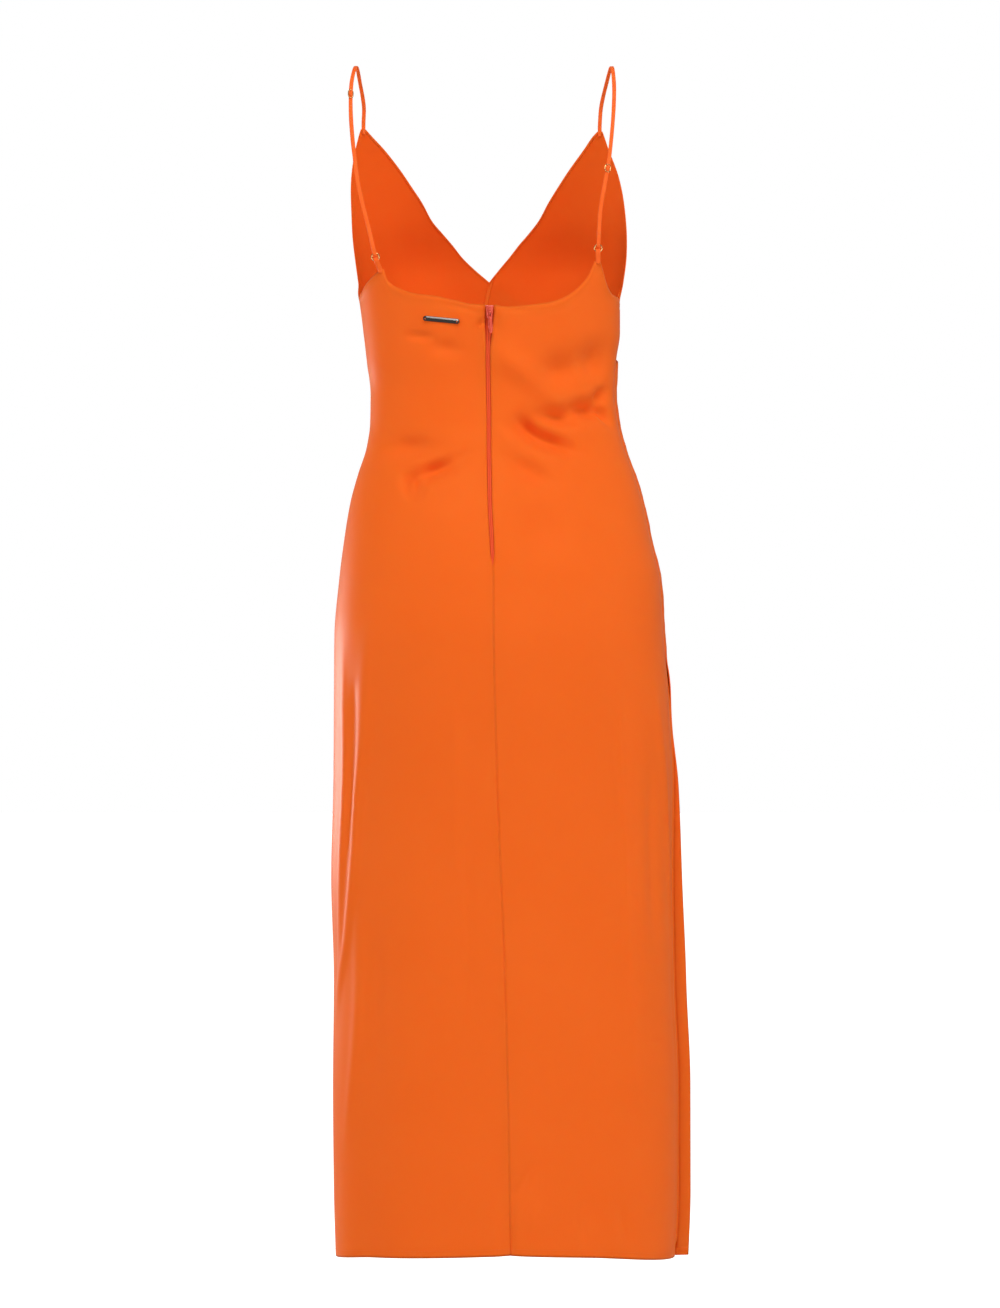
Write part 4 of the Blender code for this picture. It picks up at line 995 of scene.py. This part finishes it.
strap_satin = satin("polyester_satin_bias_cut", "F77033", "EF6222", 0.45, 0.35, "FFB080")
SEWN = {
    "front left": flat_top(True, (FRONT_ARM_LEFT[-1], FRONT_NECK_LEFT[0]), over_layer),
    "front right": flat_top(True, (FRONT_ARM_RIGHT[-1], FRONT_NECK_RIGHT[0]), under_layer),
    "back left": flat_top(False, (BACK_NECK_LEFT[-1], BACK_ARM_LEFT[0]), back_layer),
    "back right": flat_top(False, (BACK_NECK_RIGHT[-1], BACK_ARM_RIGHT[0]), back_layer),
}
slider_seats = {}
for side, line, ring_place, height in (("left", STRAP_LEFT, RING_LEFT, SLIDER_LEFT_Z),
                                       ("right", STRAP_RIGHT, RING_RIGHT, SLIDER_RIGHT_Z)):
    ring_place = np.array(ring_place)
    whole, slider_seats[side] = strap_route(line, ring_place, SEWN["front " + side], height)
    short = tab_route(ring_place, SEWN["back " + side], line[-1])
    strap = rouleau("rouleau_strap_" + side, whole, STRAP_WIDE)
    fit_piece(strap, [strap_satin], "strap_satin", "strap_" + side)
    tab = rouleau("rouleau_tab_" + side, short, TAB_WIDE)
    fit_piece(tab, [strap_satin], "strap_satin", "ring_tab_" + side)

# ---------------------------------------------------------------------------------------------------
# Rings and sliders. The rings and the wire sliders are cast zinc, tumbled smooth and plated a pale
# yellow gold, with their seams polished away.


def plated_metal(name, light, deep, roughness, wear):
    """Plated zinc: a smooth mirror-like film, with a fine haze from tumbling and thinner worn spots."""
    material = new_material(name)
    haze = add_node(material, "ShaderNodeTexNoise", {"Scale": 1000 / wear, "Detail": 3.0})
    dull = add_node(material, "ShaderNodeMapRange", {"To Min": roughness * 0.8, "To Max": roughness * 1.3},
                    {"Value": haze.outputs["Fac"]})
    return finish(material, haze, light, deep, haze, (0.05, 0.05), {"Metallic": 1.0},
                  {"Roughness": dull.outputs["Result"]})


def circle(middle, across, up, count, square=1.0):
    """Points round a middle, from its two half widths; a square below 1 fills out the corners."""
    angle = np.linspace(0.0, 2 * pi, count, endpoint=False)[:, None]
    level, rise = (np.sign(share) * np.abs(share) ** square for share in (np.cos(angle), np.sin(angle)))
    return middle + level * across + rise * up


gold = plated_metal("gold_plated_zinc", "F2C888", "DCA864", 0.2, 0.9)
for side, place in (("left", RING_LEFT), ("right", RING_RIGHT)):
    round_ring = circle(np.array(place), ACROSS * RING_RADIUS, UP * RING_RADIUS, 64)
    ring = tube("gold_ring_" + side, round_ring, RING_WIRE, 16, True)
    seat, facing, along = slider_seats[side]
    across = unit(np.cross(along, facing) + facing * SLIDER_TWIST[side])
    middle = seat + facing * (0.8 + SEAM + SLIDER_WIRE)
    rim = circle(middle, across * SLIDER_WIDE / 2, along * SLIDER_TALL / 2, 64, 0.7)
    frame_wire = tube("gold_slider_frame_" + side, rim, SLIDER_WIRE, 12, True)
    along_bar = middle + across * np.linspace(-1.0, 1.0, 9)[:, None] * SLIDER_WIDE / 2
    bar = tube("gold_slider_bar_" + side, along_bar, SLIDER_BAR_WIRE, 12)
    for piece, node in ((ring, "strap_ring_"), (frame_wire, "strap_slider_"), (bar, "strap_slider_")):
        fit_piece(piece, [gold], "gold_metal", node + side)

# ---------------------------------------------------------------------------------------------------
# Metal bar. A plain plate of cast zinc with rounded edges, plated dark, lies on the left back just under
# the neckline, sewn on through an eyelet at each end. Its crowned face is bare.
BAR_LONG, BAR_TALL, BAR_THICK = 38.5, 5.2, 1.6
BAR_X, BAR_Z, BAR_TILT = 50.9, -272.0, 6.2
BAR_OUT = 2.7           # from the form to the middle of the bar
EYE_RADIUS, EYE_WIRE, KNOT = 0.85, 0.28, 0.45   # eyelets, and the thread that is wound through them
# Section of the bar from its upper to its lower edge, in shares of its half height and its thickness.
BAR_PROFILE = ((1.0, 0.0), (0.99, 0.06), (0.93, 0.13), (0.52, 0.55), (0.14, 0.92), (0.05, 0.97),
               (-0.05, 0.98), (-0.16, 0.94), (-0.5, 0.72), (-0.84, 0.46), (-0.96, 0.32), (-1.0, 0.2),
               (-1.0, 0.0))

turn = turn_at(BAR_X, BAR_Z, False)
bar_seat = on_form(turn, BAR_Z)
bar_along = unit(on_form(turn + 1, BAR_Z) - on_form(turn - 1, BAR_Z))
bar_rise = unit(on_form(turn, BAR_Z + BAR_TALL) - on_form(turn, BAR_Z - BAR_TALL))
bar_out = unit(np.cross(bar_rise, bar_along))
bar_out *= np.sign(bar_out[1])
bar_along = unit(bar_along * cos(radians(BAR_TILT)) + bar_rise * sin(radians(BAR_TILT)))
bar_up = unit(np.cross(bar_out, bar_along))
bar_up *= np.sign(bar_up[2])
bar_along = np.cross(bar_up, bar_out)
bar_frame = Matrix(np.stack((bar_along, bar_out, bar_up), 1).tolist()).to_4x4()
bar_frame.translation = Vector(bar_seat + bar_out * BAR_OUT) * MM

gunmetal = plated_metal("black_nickel_plated_zinc", "5C5856", "34302E", 0.12, 1.6)
flat_half = (BAR_LONG - BAR_TALL) / 2
round_end = flat_half + BAR_TALL / 2 * np.cos(np.linspace(0.0, pi / 2, 9))
bar_x = np.concatenate((-round_end, np.linspace(-flat_half, flat_half, 25)[1:-1], round_end[::-1]))
into_end = np.clip((np.abs(bar_x) - flat_half) / (BAR_TALL / 2), 0.0, 0.9999)
grown = np.sqrt(1 - into_end ** 2)[:, None]
across, rise = np.array(BAR_PROFILE).T
front_z = BAR_TALL / 2 * grown * across[None, :]
front_y = BAR_THICK * (grown ** 0.6 * rise[None, :] - 0.5)
places = np.stack((np.broadcast_to(bar_x[:, None], front_z.shape), front_y, front_z), -1)
places = np.concatenate((places, places[:, :1]), axis=1)
metal_bar = cloth_mesh("plain_metal_bar", places)
metal_bar.modifiers.clear()
weld(metal_bar.data, 0.01, True)
metal_bar.data.set_sharp_from_angle(angle=radians(50))
metal_bar.matrix_world = bar_frame
fit_piece(metal_bar, [gunmetal], "dark_metal", "label_bar")
for side, way in (("left", 1), ("right", -1)):
    eye = np.array((way * flat_half, BAR_THICK / 2 - 0.05, 0.0))
    round_eye = circle(eye, ACROSS * EYE_RADIUS, UP * EYE_RADIUS, 24)
    rim = tube("bar_eyelet_" + side, round_eye, EYE_WIRE, 10, True)
    knot = tube("bar_thread_" + side, [eye + KNOT * np.array((sin(k), 0.27 * cos(2 * k), cos(k)))
                                       for k in np.linspace(0.0, 6.0, 30)], THREAD, 8)
    for piece, material, slot in ((rim, gunmetal, "dark_metal"), (knot, hem_thread, "satin")):
        piece.matrix_world = bar_frame
        fit_piece(piece, [material], slot)

# ---------------------------------------------------------------------------------------------------
# Floor, studio light and camera. The dress is seen from behind, as it hangs in worn form.
paper = new_material("matt_white_backdrop_paper")
paper_seen = add_node(paper, "ShaderNodeLightPath")
paper_shade = add_node(paper, "ShaderNodeBsdfPrincipled",
                       {"Base Color": srgb("D2D2D0"), "Roughness": 0.9, "Specular IOR Level": 0.2,
                        "Emission Color": srgb("FFFFFF")},
                       {"Emission Strength": paper_seen.outputs["Is Camera Ray"]})
add_node(paper, "ShaderNodeOutputMaterial", {}, {"Surface": paper_shade.outputs["BSDF"]})
FLOOR_Z = -1.46
AMBIENT = 0.32          # light from all round, against 1 for the white that the camera sees
bpy.ops.mesh.primitive_plane_add(size=40.0, location=(0.0, 0.0, FLOOR_Z))
floor = bpy.context.object
floor.name = "pale_floor"
floor.data.materials.append(paper)

world = bpy.data.worlds.new("white_studio")
world.use_nodes = True
world.node_tree.nodes["Background"].inputs["Color"].default_value = srgb("FFFFFF")
world_seen = add_node(world, "ShaderNodeLightPath")
world_light = add_node(world, "ShaderNodeMath", {"operation": "MAXIMUM", 1: AMBIENT},
                       {0: world_seen.outputs["Is Camera Ray"]})
world.node_tree.links.new(world_light.outputs["Value"],
                          world.node_tree.nodes["Background"].inputs["Strength"])
bpy.context.scene.world = world


def studio_light(name, place, aim, size, watts):
    """Large soft light that faces a point."""
    lamp = bpy.data.lights.new(name, "AREA")
    lamp.shape = "RECTANGLE"
    lamp.size, lamp.size_y = size
    lamp.energy = watts
    light = bpy.data.objects.new(name, lamp)
    light.location = place
    light.rotation_euler = (Vector(aim) - Vector(place)).to_track_quat("-Z", "Y").to_euler()
    bpy.context.scene.collection.objects.link(light)


studio_light("softbox_above", (-0.1, 2.5, 2.5), (0.0, 0.0, -0.4), (2.0, 1.4), 84.0)
studio_light("softbox_left", (3.0, 1.6, -0.65), (0.0, 0.0, -0.65), (1.2, 1.5), 26.0)
studio_light("softbox_right", (-3.0, 1.5, -0.65), (0.0, 0.0, -0.65), (1.2, 1.5), 28.0)
studio_light("fill_by_camera", (-0.9, 4.1, -0.7), (0.0, 0.0, -0.7), (1.0, 1.4), 20.0)
studio_light("rim_light_left", (1.45, -1.3, -0.7), (0.0, 0.0, -0.7), (0.8, 0.4), 18.0)

camera_data = bpy.data.cameras.new("photo_camera")
camera_data.lens = 130.0
camera_data.sensor_width = 36.0
camera = bpy.data.objects.new("photo_camera", camera_data)
camera.location = (-0.00945, 4.96, -0.6174)
camera.rotation_euler = (pi / 2, 0.0, pi)
bpy.context.scene.collection.objects.link(camera)
bpy.context.scene.camera = camera
bpy.context.scene.view_settings.view_transform = "Standard"
